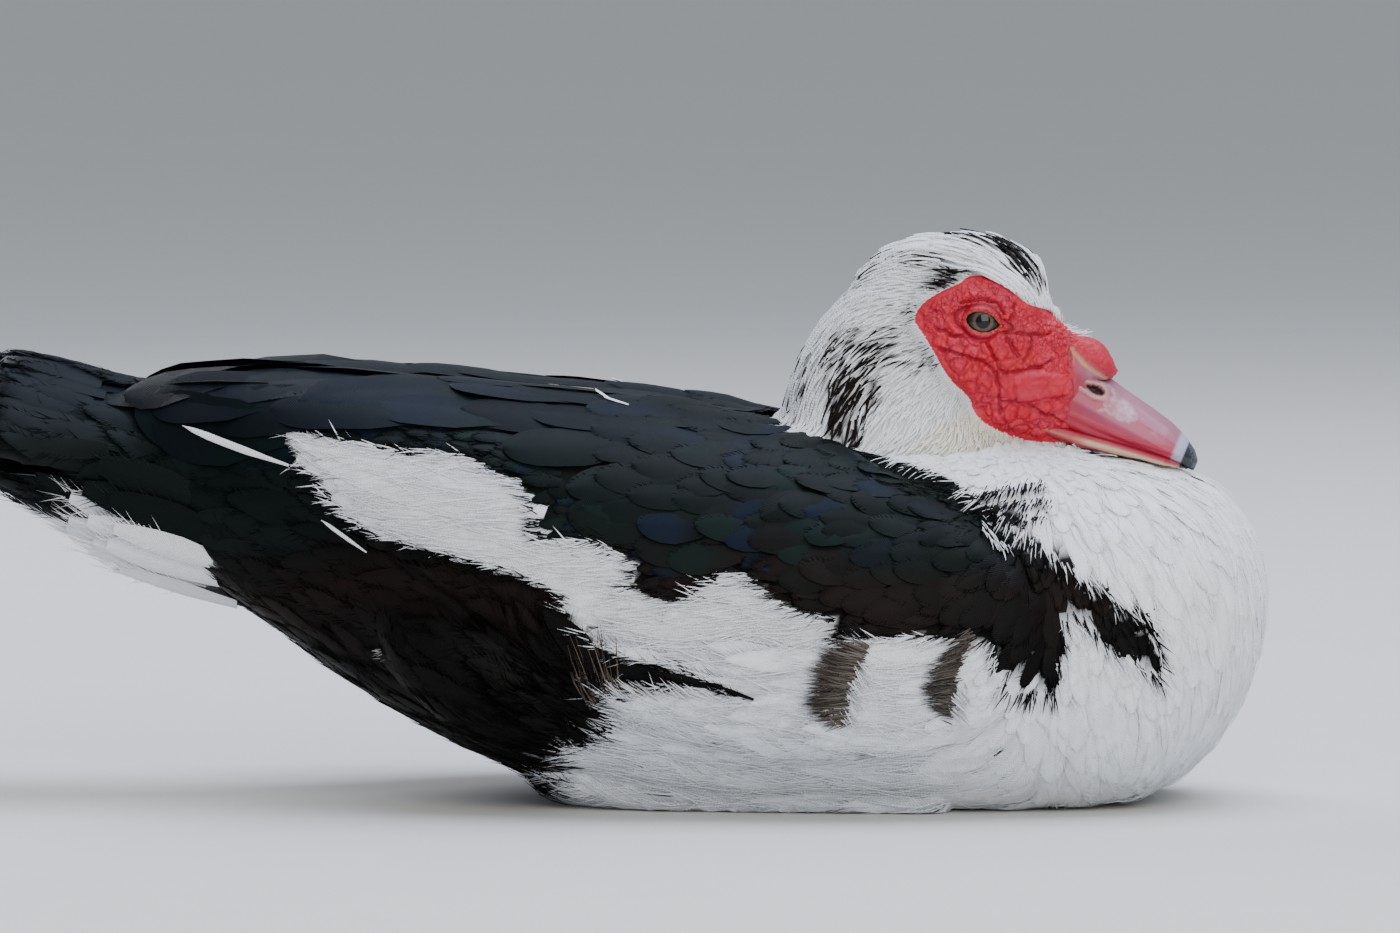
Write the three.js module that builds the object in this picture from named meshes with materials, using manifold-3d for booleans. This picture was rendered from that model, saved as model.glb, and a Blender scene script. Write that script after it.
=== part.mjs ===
// A life-size muscovy drake at rest on the ground: belly down, legs folded under it, neck drawn back
// and bill laid along the breast.
// Millimetres. +X is the way the bird faces, +Y its left side, +Z up. The origin is on the ground, below
// the middle of the bird's length.

import * as THREE from "three";
import { mergeVertices } from "three/addons/utils/BufferGeometryUtils.js";
import Module from "manifold-3d";

const wasm = await Module();
wasm.setup();

const CUT = 0.35; // gap left between two pieces that meet
const GROUND = 0;
const SLAB = { wide: 900, deep: 100 }; // what is cut away below the ground
const SIDES = { left: 1, right: -1 };

// How finely each body is divided: faces round it, and rings along it
const FACES = {
  trunk: [28, 25],
  neck: [22, 9],
  head: [24, 14],
  upperBill: [14, 8],
  lowerBill: [12, 6],
  tail: [10, 9],
  wing: [8, 16],
  ball: [14, 9],
  limb: 8,
};

// Colours, roughness and metalness of the plain finishes
const FINISH = {
  whiteFeather: { color: "#eceef0", roughness: 0.85, metalness: 0 },
  darkFeather: { color: "#14171a", roughness: 0.5, metalness: 0 },
  face: { color: "#cf2632", roughness: 0.55, metalness: 0 },
  bill: { color: "#cf6a78", roughness: 0.4, metalness: 0 },
  nail: { color: "#20242c", roughness: 0.35, metalness: 0 },
  eye: { color: "#5d5a45", roughness: 0.1, metalness: 0 },
  foot: { color: "#6b6454", roughness: 0.6, metalness: 0 },
};

// Head axis: a point between the eyes, and how far the bill points below level
const HEAD_AT = { x: 155, z: 180 };
const HEAD_PITCH = -22;
const headTurn = THREE.MathUtils.degToRad(HEAD_PITCH);

// A place given along the head's axis and above it
function onHead(along, above) {
  return {
    x: HEAD_AT.x + along * Math.cos(headTurn) - above * Math.sin(headTurn),
    z: HEAD_AT.z + along * Math.sin(headTurn) + above * Math.cos(headTurn),
  };
}

// Trunk, from the under-tail coverts to the front of the breast
// x, top, widest level, bottom, half width
const TRUNK = [
  [-212, 143, 136, 130, 8],
  [-208, 146, 136, 125, 15],
  [-196, 149, 134, 118, 25],
  [-172, 151, 130, 106, 36],
  [-142, 152, 121, 87, 47],
  [-106, 154, 108, 61, 60],
  [-70, 156, 96, 37, 74],
  [-30, 158, 84, 16, 85],
  [10, 158, 74, 2, 91],
  [50, 154, 66, -5, 94],
  [100, 147, 62, -6, 94],
  [150, 142, 60, -6, 91],
  [195, 137, 61, -5, 85],
  [226, 132, 64, 1, 75],
  [248, 125, 69, 15, 61],
  [262, 113, 74, 35, 44],
  [270, 99, 78, 55, 25],
  [272.6, 86, 79, 71, 8],
].map(([x, top, widest, bottom, side]) => ({
  x,
  z: widest,
  lean: 0,
  up: top - widest,
  down: widest - bottom,
  side,
  squareUp: 2.1,
  squareDown: 2.7,
}));

// Neck, from inside the breast to inside the head
// level, back, widest place, front, half width
const NECK = [
  [96, 92, 140, 190, 50],
  [115, 87, 135, 190, 50],
  [130, 84, 128, 183, 45],
  [143, 83, 123, 172, 39],
  [157, 85, 121, 163, 34.5],
  [172, 90.5, 122, 157, 31.5],
  [185, 99, 125, 153, 28.5],
  [196, 109, 130, 150, 24],
  [204, 118, 134, 147, 18],
  [209, 125, 135, 144, 9],
].map(([level, back, widest, front, side]) => ({
  x: widest,
  z: level,
  lean: 90,
  up: widest - back,
  down: front - widest,
  side,
  squareUp: 2.1,
  squareDown: 2.2,
}));

// Rings across the head's axis: distance along, top, widest level, bottom, half width
const acrossHead = (squareUp, squareDown) => (row) => {
  const [along, top, widest, bottom, side] = row;
  return {
    ...onHead(along, widest),
    lean: HEAD_PITCH,
    up: top - widest,
    down: widest - bottom,
    side,
    squareUp,
    squareDown,
  };
};

// Head with its crest, from the back of the skull to the root of the bill
const HEAD = [
  [-46, 6, 0, -7, 8],
  [-42, 12, 0, -16, 14.5],
  [-34, 22.5, 0, -26, 19.5],
  [-18, 32.5, -1, -31, 24.5],
  [0, 38, -2, -33, 27],
  [14, 37, -4, -33.5, 26.5],
  [22, 33, -5, -33, 25],
  [27, 26.5, -6, -32.2, 23],
  [31, 21.5, -8, -31.3, 20.5],
  [39, 19.3, -9, -29.3, 17],
  [47, 16.5, -9, -27, 14.8],
  [52, 12, -9, -25, 13],
].map(acrossHead(1.9, 2.4));

// Upper half of the bill, from inside the head to the tip
const UPPER_BILL = [
  [36, 14, -6, -21, 13],
  [48, 9, -7, -20.6, 13.5],
  [58, 4.8, -9, -19.6, 13.2],
  [72, 1.4, -10.5, -17.6, 13.1],
  [84, -1.2, -11.5, -16, 13.6],
  [93, -4.6, -12, -15.2, 13],
  [99, -8.6, -12.8, -15.6, 9.6],
  [102, -12.2, -14, -16, 4.4],
].map(acrossHead(1.8, 3));

// Lower half of the bill
const LOWER_BILL = [
  [36, -18, -22, -27.4, 11.5],
  [48, -18, -22.5, -26, 12.2],
  [58, -17, -21.6, -24.6, 12.2],
  [72, -15.4, -19.6, -22.4, 12.2],
  [84, -14, -18.2, -20.6, 12.6],
  [93, -13.6, -17.4, -19.4, 11.8],
  [98.6, -14.4, -17.2, -18.6, 8],
  [100.6, -15.6, -17.2, -18.2, 3.6],
].map(acrossHead(2.4, 2.2));

const NAIL = { along: 102, above: -12, lengthwise: 7, across: 7, deep: 9 };
const EYE = { along: 6.4, above: 7.6, out: 19.6, radius: 8 };

// The fleshy knob over the root of the bill: a middle lobe and one on each side
const KNOB = {
  pitch: -36,
  lobes: [
    { along: 49.5, above: 11, out: 0, size: [12.5, 8, 6.4] },
    { along: 52, above: 8, out: 5.4, size: [9.5, 5.2, 5.6] },
    { along: 52, above: 8, out: -5.4, size: [9.5, 5.2, 5.6] },
  ],
};

// Folded wing with the shoulder feathers, as a shell on the trunk
// x, lower edge and upper edge in degrees round the trunk, thickness at the lower and upper edge
const WING = [
  [-178, 62, 76, 2, 5],
  [-165, 50, 80, 4, 10],
  [-142, 37, 82, 6, 17],
  [-106, 22, 83, 8, 20],
  [-70, 8, 83, 9, 16],
  [-30, 1, 82, 10, 9],
  [10, -8, 81, 10, 5],
  [45, -18, 80, 10, 5],
  [80, -25, 76, 9.5, 6],
  [112, -26, 62, 9, 6.5],
  [143, -22, 47, 7.5, 6],
  [170, -12, 31, 5, 4],
  [188, 0, 16, 2.5, 2.5],
];

// How much of the tail's thickness is left at its edges
const TAIL_EDGE = 0.35;

// Tail fan, arched from side to side, from its tip to its root
// x, top, how far the edges droop, half width, thickness
const TAIL = [
  [-272.7, 172, 2.5, 12, 2],
  [-269, 172.5, 6, 28, 3],
  [-259, 172.5, 13, 45, 4.5],
  [-243, 171.5, 22, 54, 6.5],
  [-225, 169, 30, 56, 9],
  [-205, 165, 31, 52, 13],
  [-180, 159.5, 27, 44, 17],
  [-156, 156, 20, 36, 21],
  [-140, 151, 14, 30, 21],
];

// Feathered thigh, laid forward along the flank
const THIGH = { x: -18, y: 62, z: 52, size: [54, 30, 27], pitch: -32 };

// Webbed foot, folded flat under the belly: places on the left foot
const FOOT = {
  heel: [10, 33, 7],
  knuckle: [66, 34, 6.4],
  shank: [6, 5.6],
  toes: [
    { name: "inner", tip: [116, 19, 3.4], radius: [4.2, 2.7] },
    { name: "middle", tip: [130, 36, 3.4], radius: [4.4, 2.8] },
    { name: "outer", tip: [118, 52, 3.4], radius: [4.2, 2.7] },
    { name: "hind", tip: [46, 23, 3.2], radius: [3, 2.2] },
  ],
  webTop: 3.2,
  claw: { length: 8, slim: 0.72, tipLevel: 1.6, tipRadius: 0.6 },
  pocket: { height: 13.5, margin: 7, pastClaw: 3, corner: 0.6, below: 8 },
};

const mix = (a, b, t) => a + (b - a) * t;

// A value part of the way along a list of numbers, on a smooth curve through them
function smooth(values, at) {
  const last = values.length - 1;
  const i = Math.min(Math.floor(at), last - 1);
  const t = at - i;
  const [a, b, c, d] = [i - 1, i, i + 1, i + 2].map(
    (k) => values[Math.min(Math.max(k, 0), last)],
  );
  const bend = 2 * b + (c - a) * t;
  const curve = (2 * a - 5 * b + 4 * c - d) * t * t;
  return 0.5 * (bend + curve + (3 * b - a - 3 * c + d) * t * t * t);
}

// The ring part of the way along a list of rings
function ringAt(rings, at) {
  const ring = {};
  for (const key of Object.keys(rings[0])) {
    ring[key] = smooth(
      rings.map((r) => r[key]),
      at,
    );
  }
  return ring;
}

// A point on a ring, at an angle from its left side towards its upper side
function onRing(ring, angle, grow) {
  const lean = THREE.MathUtils.degToRad(ring.lean);
  const c = Math.cos(angle);
  const s = Math.sin(angle);
  const power = 2 / (s > 0 ? ring.squareUp : ring.squareDown);
  const reach = (s > 0 ? ring.up : ring.down) + grow;
  const out = (ring.side + grow) * Math.sign(c) * Math.abs(c) ** power;
  const rise = reach * Math.sign(s) * Math.abs(s) ** power;
  return [ring.x - rise * Math.sin(lean), out, ring.z + rise * Math.cos(lean)];
}

// A closed geometry from loops of points, each with a middle, with flat fans over both ends
function skinOver(loops) {
  const count = loops[0].length;
  const middle = (loop) =>
    [0, 1, 2].map((k) => loop.reduce((sum, p) => sum + p[k], 0) / count);
  const points = [...loops.flat(), middle(loops[0]), middle(loops.at(-1))];
  const firstCap = loops.length * count;
  const lastRow = (loops.length - 1) * count;
  const index = [];
  for (let j = 0; j < count; j++) {
    const next = (j + 1) % count;
    for (let row = 0; row < lastRow; row += count) {
      index.push(row + j, row + next, row + count + next);
      index.push(row + j, row + count + next, row + count + j);
    }
    index.push(firstCap, next, j);
    index.push(firstCap + 1, lastRow + j, lastRow + next);
  }
  const geometry = new THREE.BufferGeometry();
  geometry.setAttribute(
    "position",
    new THREE.Float32BufferAttribute(points.flat(), 3),
  );
  geometry.setIndex(index);
  return geometry;
}

// A smooth body through a list of rings
function loft(rings, [around, steps], grow = 0) {
  const loops = [];
  for (let i = 0; i <= steps; i++) {
    const ring = ringAt(rings, (i / steps) * (rings.length - 1));
    const loop = [];
    for (let j = 0; j < around; j++) {
      loop.push(onRing(ring, (j / around) * 2 * Math.PI, grow));
    }
    loops.push(loop);
  }
  return skinOver(loops);
}

// The solid that a geometry encloses
function solid(geometry) {
  const bare = new THREE.BufferGeometry();
  bare.setAttribute("position", geometry.getAttribute("position"));
  bare.setIndex(geometry.index);
  const merged = mergeVertices(bare, 1e-3);
  return new wasm.Manifold(
    new wasm.Mesh({
      numProp: 3,
      vertProperties: merged.attributes.position.array,
      triVerts: new Uint32Array(merged.index.array),
    }),
  );
}

// The geometry of a solid
function geometryOf(body) {
  const mesh = body.getMesh();
  const geometry = new THREE.BufferGeometry();
  const points = [];
  for (let i = 0; i < mesh.numVert; i++) {
    points.push(
      ...mesh.vertProperties.slice(i * mesh.numProp, i * mesh.numProp + 3),
    );
  }
  geometry.setAttribute(
    "position",
    new THREE.Float32BufferAttribute(points, 3),
  );
  geometry.setIndex(Array.from(mesh.triVerts));
  geometry.computeVertexNormals();
  return geometry;
}

// The largest separate piece of a solid, which drops the slivers that a cut leaves
function mainPiece(body) {
  return body.decompose().sort((a, b) => b.volume() - a.volume())[0];
}

// An ellipsoid, tilted about Y and placed
function ellipsoid(size, pitch, place, grow = 0) {
  const geometry = new THREE.SphereGeometry(1, ...FACES.ball);
  geometry.scale(size[0] + grow, size[1] + grow, size[2] + grow);
  geometry.rotateY(THREE.MathUtils.degToRad(-pitch));
  geometry.translate(...place);
  return solid(geometry);
}

// A round limb that tapers from one point to another, with round ends
function limb(from, to, radii, grow = 0) {
  const start = new THREE.Vector3(...from);
  const reach = new THREE.Vector3(...to).sub(start);
  const [r0, r1] = radii.map((r) => r + grow);
  const corners = 2;
  const profile = [];
  for (let i = 0; i <= corners; i++) {
    const a = (i / corners) * (Math.PI / 2);
    profile.push(new THREE.Vector2(r0 * Math.sin(a), -r0 * Math.cos(a)));
  }
  for (let i = corners; i >= 0; i--) {
    const a = (i / corners) * (Math.PI / 2);
    profile.push(
      new THREE.Vector2(r1 * Math.sin(a), reach.length() + r1 * Math.cos(a)),
    );
  }
  profile[0].x = 0;
  profile.at(-1).x = 0;
  const geometry = new THREE.LatheGeometry(profile, FACES.limb);
  geometry.applyQuaternion(
    new THREE.Quaternion().setFromUnitVectors(
      new THREE.Vector3(0, 1, 0),
      reach.normalize(),
    ),
  );
  geometry.translate(start.x, start.y, start.z);
  return solid(geometry);
}

// A flat plate of a plan outline between two levels
function plate(outline, low, high) {
  const shape = new THREE.Shape(outline.map(([x, y]) => new THREE.Vector2(x, y)));
  const geometry = new THREE.ExtrudeGeometry(shape, {
    depth: high - low,
    bevelEnabled: false,
  });
  geometry.translate(0, 0, low);
  return solid(geometry);
}

// Everything above the ground
function aboveGround(body) {
  const slab = new THREE.BoxGeometry(SLAB.wide, SLAB.wide, SLAB.deep);
  slab.translate(0, 0, GROUND - SLAB.deep / 2);
  return body.subtract(solid(slab));
}

const trunkBody = (grow) => solid(loft(TRUNK, FACES.trunk, grow));
const neckBody = (grow) => solid(loft(NECK, FACES.neck, grow));
const headBody = (grow) => solid(loft(HEAD, FACES.head, grow));
const upperBillBody = (grow) => solid(loft(UPPER_BILL, FACES.upperBill, grow));
const lowerBillBody = (grow) => solid(loft(LOWER_BILL, FACES.lowerBill, grow));

// The tail fan: loops over its arched top and back under it
function tailBody(grow) {
  const [across, steps] = FACES.tail;
  const loops = [];
  for (let i = 0; i <= steps; i++) {
    const at = (i / steps) * (TAIL.length - 1);
    const [x, top, droop, side, thick] = TAIL[0].map((_, k) =>
      smooth(
        TAIL.map((row) => row[k]),
        at,
      ),
    );
    const upper = [];
    const lower = [];
    for (let j = 0; j <= across; j++) {
      const share = Math.cos((j / across) * Math.PI);
      const level = top - droop * share * share;
      const bulge = mix(TAIL_EDGE, 1, Math.sin((j / across) * Math.PI));
      upper.push([x, (side + grow) * share, level + grow]);
      lower.unshift([x, (side + grow) * share, level - thick * bulge - grow]);
    }
    loops.push([...upper, ...lower]);
  }
  return solid(skinOver(loops));
}

// The wing shell of one side, sunk a little into the trunk, which is then cut away
function wingBody(hand, grow) {
  const [across, steps] = FACES.wing;
  const sunk = -5;
  const blunt = 0.45;
  const trunkX = TRUNK.map((r) => r.x);
  const loops = [];
  for (let i = 0; i <= steps; i++) {
    const at = (i / steps) * (WING.length - 1);
    const [x, low, high, thickLow, thickHigh] = WING[0].map((_, k) =>
      smooth(
        WING.map((row) => row[k]),
        at,
      ),
    );
    let station = 0;
    while (smooth(trunkX, station) < x) station += 0.01;
    const ring = ringAt(TRUNK, station);
    const outer = [];
    const inner = [];
    for (let j = 0; j <= across; j++) {
      const share = j / across;
      const angle = THREE.MathUtils.degToRad(mix(low, high, share));
      const bulge = blunt + (1 - blunt) * Math.sin(share * Math.PI) ** 0.5;
      const thick = mix(thickLow, thickHigh, share) * bulge;
      outer.push(onRing(ring, angle, thick + grow));
      inner.unshift(onRing(ring, angle, sunk));
    }
    loops.push([...outer, ...inner].map(([px, py, pz]) => [px, hand * py, pz]));
  }
  if (hand < 0) loops.reverse();
  return solid(skinOver(loops));
}

// One foot: its solid, and its claws as separate solids
function foot(hand) {
  const place = ([x, y, z]) => [x, hand * y, z];
  const knuckle = place(FOOT.knuckle);
  let body = limb(place(FOOT.heel), knuckle, FOOT.shank);
  const webOutline = [FOOT.knuckle, ...FOOT.toes.slice(0, 3).map((t) => t.tip)];
  const web = plate(
    webOutline.map(([x, y]) => [x, hand * y]),
    GROUND,
    FOOT.webTop,
  );
  body = body.add(web);
  const claws = [];
  for (const toe of FOOT.toes) {
    const tip = place(toe.tip);
    body = body.add(limb(knuckle, tip, [toe.radius[0], toe.radius[1]]));
    const way = new THREE.Vector3(...tip)
      .sub(new THREE.Vector3(...knuckle))
      .setZ(0)
      .normalize();
    const { length, slim, tipLevel, tipRadius } = FOOT.claw;
    const end = new THREE.Vector3(...tip).addScaledVector(way, length);
    const claw = limb(
      tip,
      [end.x, end.y, tipLevel],
      [toe.radius[1] * slim, tipRadius],
    );
    const sleeve = limb(knuckle, tip, toe.radius, CUT);
    claws.push({ name: toe.name, body: aboveGround(claw.subtract(sleeve)) });
  }
  return { body: aboveGround(body), claws };
}

// The hollow in the belly feathers that a foot lies in
function footPocket(hand) {
  const { height, margin: m, pastClaw, corner, below } = FOOT.pocket;
  const [inner, middle, outer, hind] = FOOT.toes.map((t) => t.tip);
  const reach = FOOT.claw.length + pastClaw;
  const outline = [
    [FOOT.heel[0] - m, FOOT.heel[1] - m],
    [hind[0], hind[1] - m],
    [inner[0], inner[1] - m],
    [inner[0] + reach, inner[1] - m * corner],
    [middle[0] + reach, middle[1]],
    [outer[0] + reach, outer[1] + m * corner],
    [outer[0], outer[1] + m],
    [FOOT.heel[0] - m, FOOT.heel[1] + m],
  ];
  return plate(
    outline.map(([x, y]) => [x, hand * y]),
    GROUND - below,
    height,
  );
}

const group = new THREE.Group();

function addPiece(name, body, finish) {
  const mesh = new THREE.Mesh(
    geometryOf(mainPiece(body)),
    new THREE.MeshStandardMaterial(finish),
  );
  mesh.name = name;
  group.add(mesh);
}

// Cutters: each neighbour grown by the gap
const trunkCutter = trunkBody(CUT);
const neckCutter = neckBody(CUT);
const headCutter = headBody(CUT);
const tailCutter = tailBody(CUT);
const upperBillCutter = upperBillBody(CUT);

function eyeball(hand, grow) {
  const { x, z } = onHead(EYE.along, EYE.above);
  const r = EYE.radius;
  return ellipsoid([r, r, r], 0, [x, hand * EYE.out, z], grow);
}

function knob(grow) {
  return KNOB.lobes
    .map(({ along, above, out, size }) => {
      const { x, z } = onHead(along, above);
      return ellipsoid(size, KNOB.pitch, [x, out, z], grow);
    })
    .reduce((all, lobe) => all.add(lobe));
}

function nail(grow) {
  const { x, z } = onHead(NAIL.along, NAIL.above);
  const size = [NAIL.lengthwise, NAIL.across, NAIL.deep];
  return ellipsoid(size, HEAD_PITCH, [x, 0, z], grow);
}

// Trunk, with a hollow for each foot
let trunk = aboveGround(trunkBody(0));
for (const hand of Object.values(SIDES)) {
  trunk = trunk.subtract(footPocket(hand));
}
addPiece("trunk", trunk, FINISH.whiteFeather);

addPiece(
  "neck",
  neckBody(0).subtract(trunkCutter).subtract(headCutter),
  FINISH.whiteFeather,
);

// Head, with a socket for each eye
let head = headBody(0).subtract(trunkCutter);
for (const hand of Object.values(SIDES)) {
  head = head.subtract(eyeball(hand, CUT));
}
addPiece("head", head, FINISH.face);

addPiece("knob", knob(0).subtract(headCutter), FINISH.face);

const upperBill = upperBillBody(0)
  .subtract(headCutter)
  .subtract(knob(CUT));
addPiece("bill_upper", upperBill.subtract(nail(CUT)), FINISH.bill);
addPiece("bill_nail", upperBill.intersect(nail(0)), FINISH.nail);
addPiece(
  "bill_lower",
  lowerBillBody(0)
    .subtract(headCutter)
    .subtract(upperBillCutter)
    .subtract(trunkCutter),
  FINISH.bill,
);

addPiece(
  "tail",
  tailBody(0).subtract(trunkCutter),
  FINISH.darkFeather,
);

for (const [side, hand] of Object.entries(SIDES)) {
  addPiece(`eye_${side}`, eyeball(hand, 0), FINISH.eye);

  const wing = wingBody(hand, 0)
    .subtract(trunkCutter)
    .subtract(neckCutter)
    .subtract(tailCutter);
  addPiece(`wing_${side}`, wing, FINISH.darkFeather);

  const thigh = ellipsoid(
    THIGH.size,
    THIGH.pitch,
    [THIGH.x, hand * THIGH.y, THIGH.z],
    0,
  );
  addPiece(
    `thigh_${side}`,
    aboveGround(thigh.subtract(trunkCutter).subtract(wingBody(hand, CUT))),
    FINISH.darkFeather,
  );

  const { body, claws } = foot(hand);
  addPiece(`foot_${side}`, body, FINISH.foot);
  for (const claw of claws) {
    addPiece(`claw_${claw.name}_${side}`, claw.body, FINISH.nail);
  }
}

export default group;
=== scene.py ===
"""Looks of a life-size muscovy drake at rest: skin, face, bill, eyes, feet and the whole coat of feathers.

Places and sizes are millimetres in the model's own frame until a mesh is written. +X is the way the bird
faces, +Y its left side and +Z up.
"""

import itertools
import logging
import math
from collections.abc import Callable, Iterator
from dataclasses import dataclass, field
from enum import Enum
from functools import partial

import bmesh
import bpy
import numpy as np
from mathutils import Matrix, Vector
from mathutils.bvhtree import BVHTree
from mathutils.kdtree import KDTree


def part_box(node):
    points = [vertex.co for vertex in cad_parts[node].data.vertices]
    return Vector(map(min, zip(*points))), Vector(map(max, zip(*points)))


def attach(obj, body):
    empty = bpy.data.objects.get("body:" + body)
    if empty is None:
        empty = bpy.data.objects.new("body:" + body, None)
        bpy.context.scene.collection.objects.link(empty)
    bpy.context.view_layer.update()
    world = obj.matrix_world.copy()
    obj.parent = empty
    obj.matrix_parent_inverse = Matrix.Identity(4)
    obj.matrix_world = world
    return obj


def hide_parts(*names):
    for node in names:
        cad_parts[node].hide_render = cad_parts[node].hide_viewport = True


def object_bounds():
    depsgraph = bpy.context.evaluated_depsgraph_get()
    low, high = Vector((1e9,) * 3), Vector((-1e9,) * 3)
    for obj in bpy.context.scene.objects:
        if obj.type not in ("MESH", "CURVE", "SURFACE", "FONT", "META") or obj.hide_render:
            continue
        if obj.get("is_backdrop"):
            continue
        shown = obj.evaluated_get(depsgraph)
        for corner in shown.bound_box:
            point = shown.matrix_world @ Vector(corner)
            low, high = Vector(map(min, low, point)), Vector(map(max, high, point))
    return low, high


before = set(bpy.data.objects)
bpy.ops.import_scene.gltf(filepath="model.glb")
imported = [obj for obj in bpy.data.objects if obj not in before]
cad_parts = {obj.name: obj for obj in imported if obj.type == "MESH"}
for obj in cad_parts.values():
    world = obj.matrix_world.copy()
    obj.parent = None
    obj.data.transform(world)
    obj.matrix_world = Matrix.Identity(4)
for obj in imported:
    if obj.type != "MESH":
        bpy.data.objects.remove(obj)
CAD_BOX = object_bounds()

LOG = logging.getLogger("drake")
MM = 0.001
SEED = 41
Points = np.ndarray


class Region(Enum):
    """The parts of the body that the coat differs on."""

    TRUNK = 0
    NECK = 1
    HEAD = 2
    WING = 3
    THIGH = 4
    TAIL = 5


class Side(Enum):
    """The bird's two sides, with the sign of Y."""

    LEFT = 1
    RIGHT = -1


# Small helpers


def to_linear(hex_colour: str) -> Points:
    """Turns an sRGB hex colour into linear light.

    Args:
        hex_colour: The colour, such as "#cf2632".

    Returns:
        Red, green and blue in linear light.
    """
    values = [int(hex_colour[i : i + 2], 16) / 255 for i in (1, 3, 5)]
    return np.array([v / 12.92 if v <= 0.04045 else ((v + 0.055) / 1.055) ** 2.4 for v in values])


def rgba(hex_colour: str) -> tuple[float, ...]:
    """Gives a hex colour as a socket takes it."""
    return (*to_linear(hex_colour), 1.0)


def step(values: Points, low: float, high: float) -> Points:
    """Rises smoothly from 0 at low to 1 at high."""
    t = np.clip((values - low) / (high - low), 0.0, 1.0)
    return t * t * (3 - 2 * t)


def unit(vectors: Points) -> Points:
    """Scales each vector to a length of one."""
    return vectors / np.maximum(np.linalg.norm(vectors, axis=-1, keepdims=True), 1e-9)


def scatter(cells: Points, seed: int) -> Points:
    """Gives each whole-number cell a fixed point between 0 and 1 on each axis.

    Args:
        cells: Whole-number places, one a row.
        seed: Picks another set of points.

    Returns:
        One point a row.
    """
    turns = np.array([[127.1, 311.7, 74.7], [269.5, 183.3, 246.1], [113.5, 271.9, 124.6]])
    return np.modf(np.abs(np.sin(cells @ turns.T + seed * 17.0) * 43758.5453))[0]


def cell_edges(places: Points, size: float, seed: int) -> Points:
    """Measures how far each place is from the edge between two irregular cells.

    Args:
        places: Places in millimetres.
        size: Rough width of a cell.
        seed: Picks another set of cells.

    Returns:
        0 on an edge, rising to about 1 in the middle of a cell.
    """
    scaled = places / size
    base = np.floor(scaled)
    nearest = np.full(len(places), 9.0)
    second = nearest.copy()
    for offset in itertools.product((-1, 0, 1), repeat=3):
        cell = base + np.array(offset)
        gap = np.linalg.norm(cell + scatter(cell, seed) - scaled, axis=1)
        second = np.minimum(second, np.maximum(nearest, gap))
        nearest = np.minimum(nearest, gap)
    return second - nearest


def waver(places: Points, size: float, seed: int) -> Points:
    """Gives a smooth wandering offset for each place.

    Args:
        places: Places in millimetres.
        size: Length of one swing.
        seed: Picks another set of swings.

    Returns:
        Offsets between about -1 and 1 on each axis.
    """
    rng = np.random.default_rng(seed)
    total = np.zeros_like(places)
    for octave in (1.0, 1.9, 3.7):
        turn = rng.normal(size=(3, 3)) * 2 * math.pi / size * octave * 0.6
        total += np.sin(places @ turn + rng.uniform(0, 6, 3)) / octave
    return total / 1.8


def line_distance(places: Points, line: Points) -> Points:
    """Measures the distance from each place to a bent line, both in a plane.

    Args:
        places: Places in the plane, one a row.
        line: Corners of the line.

    Returns:
        The shortest distance for each place.
    """
    best = np.full(len(places), 1e9)
    for a, b in zip(line[:-1], line[1:]):
        along = b - a
        t = np.clip(((places - a) @ along) / (along @ along), 0, 1)
        best = np.minimum(best, np.linalg.norm(places - a - t[:, None] * along, axis=1))
    return best


# The photograph looks from 5 degrees ahead of square and 4 degrees above, so a place further out from the
# middle shows further back and lower by these shares
LEAN = np.array([0.0875, 0.07])


def seen(places: Points, lean: float = 1.0) -> Points:
    """Gives where each place shows in the side view.

    Args:
        places: Places as x, y, z.
        lean: Share of the view's lean that is allowed for.

    Returns:
        Distance forward and up, one place a row.
    """
    return places[:, [0, 2]] - lean * np.abs(places[:, 1:2]) * LEAN


class Outline:
    """A closed outline in the side view, given as corners of x and z."""

    def __init__(self, corners: list[tuple[float, float]], rounded: bool = False, lean: float = 0.0) -> None:
        """Keeps the corners.

        Args:
            corners: x and z of each corner in order.
            rounded: Runs a smooth curve through the corners.
            lean: Share of the view's lean that the corners hold.
        """
        self.lean = lean
        self.corners = np.array(corners, float)
        if rounded:
            before, here = np.roll(self.corners, 1, 0), self.corners
            after, beyond = np.roll(here, -1, 0), np.roll(here, -2, 0)
            found = []
            for t in (0.0, 0.25, 0.5, 0.75):
                bend = 2 * before - 5 * here + 4 * after - beyond
                turn = 3 * (here - after) + beyond - before
                found.append(here + 0.5 * t * ((after - before) + t * (bend + t * turn)))
            self.corners = np.stack(found, 1).reshape(-1, 2)

    def inside(self, places: Points) -> Points:
        """Measures how deep each place lies in the outline, seen from the side.

        Args:
            places: Places as x, y, z.

        Returns:
            Millimetres inside the outline, or below zero outside it.
        """
        flat = seen(places, self.lean)
        ring = np.vstack([self.corners, self.corners[:1]])
        held = np.zeros(len(flat), bool)
        for (x0, z0), (x1, z1) in zip(ring[:-1], ring[1:]):
            if z0 == z1:
                continue
            crosses = (flat[:, 1] < z0) != (flat[:, 1] < z1)
            held ^= crosses & (flat[:, 0] < x0 + (flat[:, 1] - z0) * (x1 - x0) / (z1 - z0))
        gap = line_distance(flat, ring)
        return np.where(held, gap, -gap)


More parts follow.
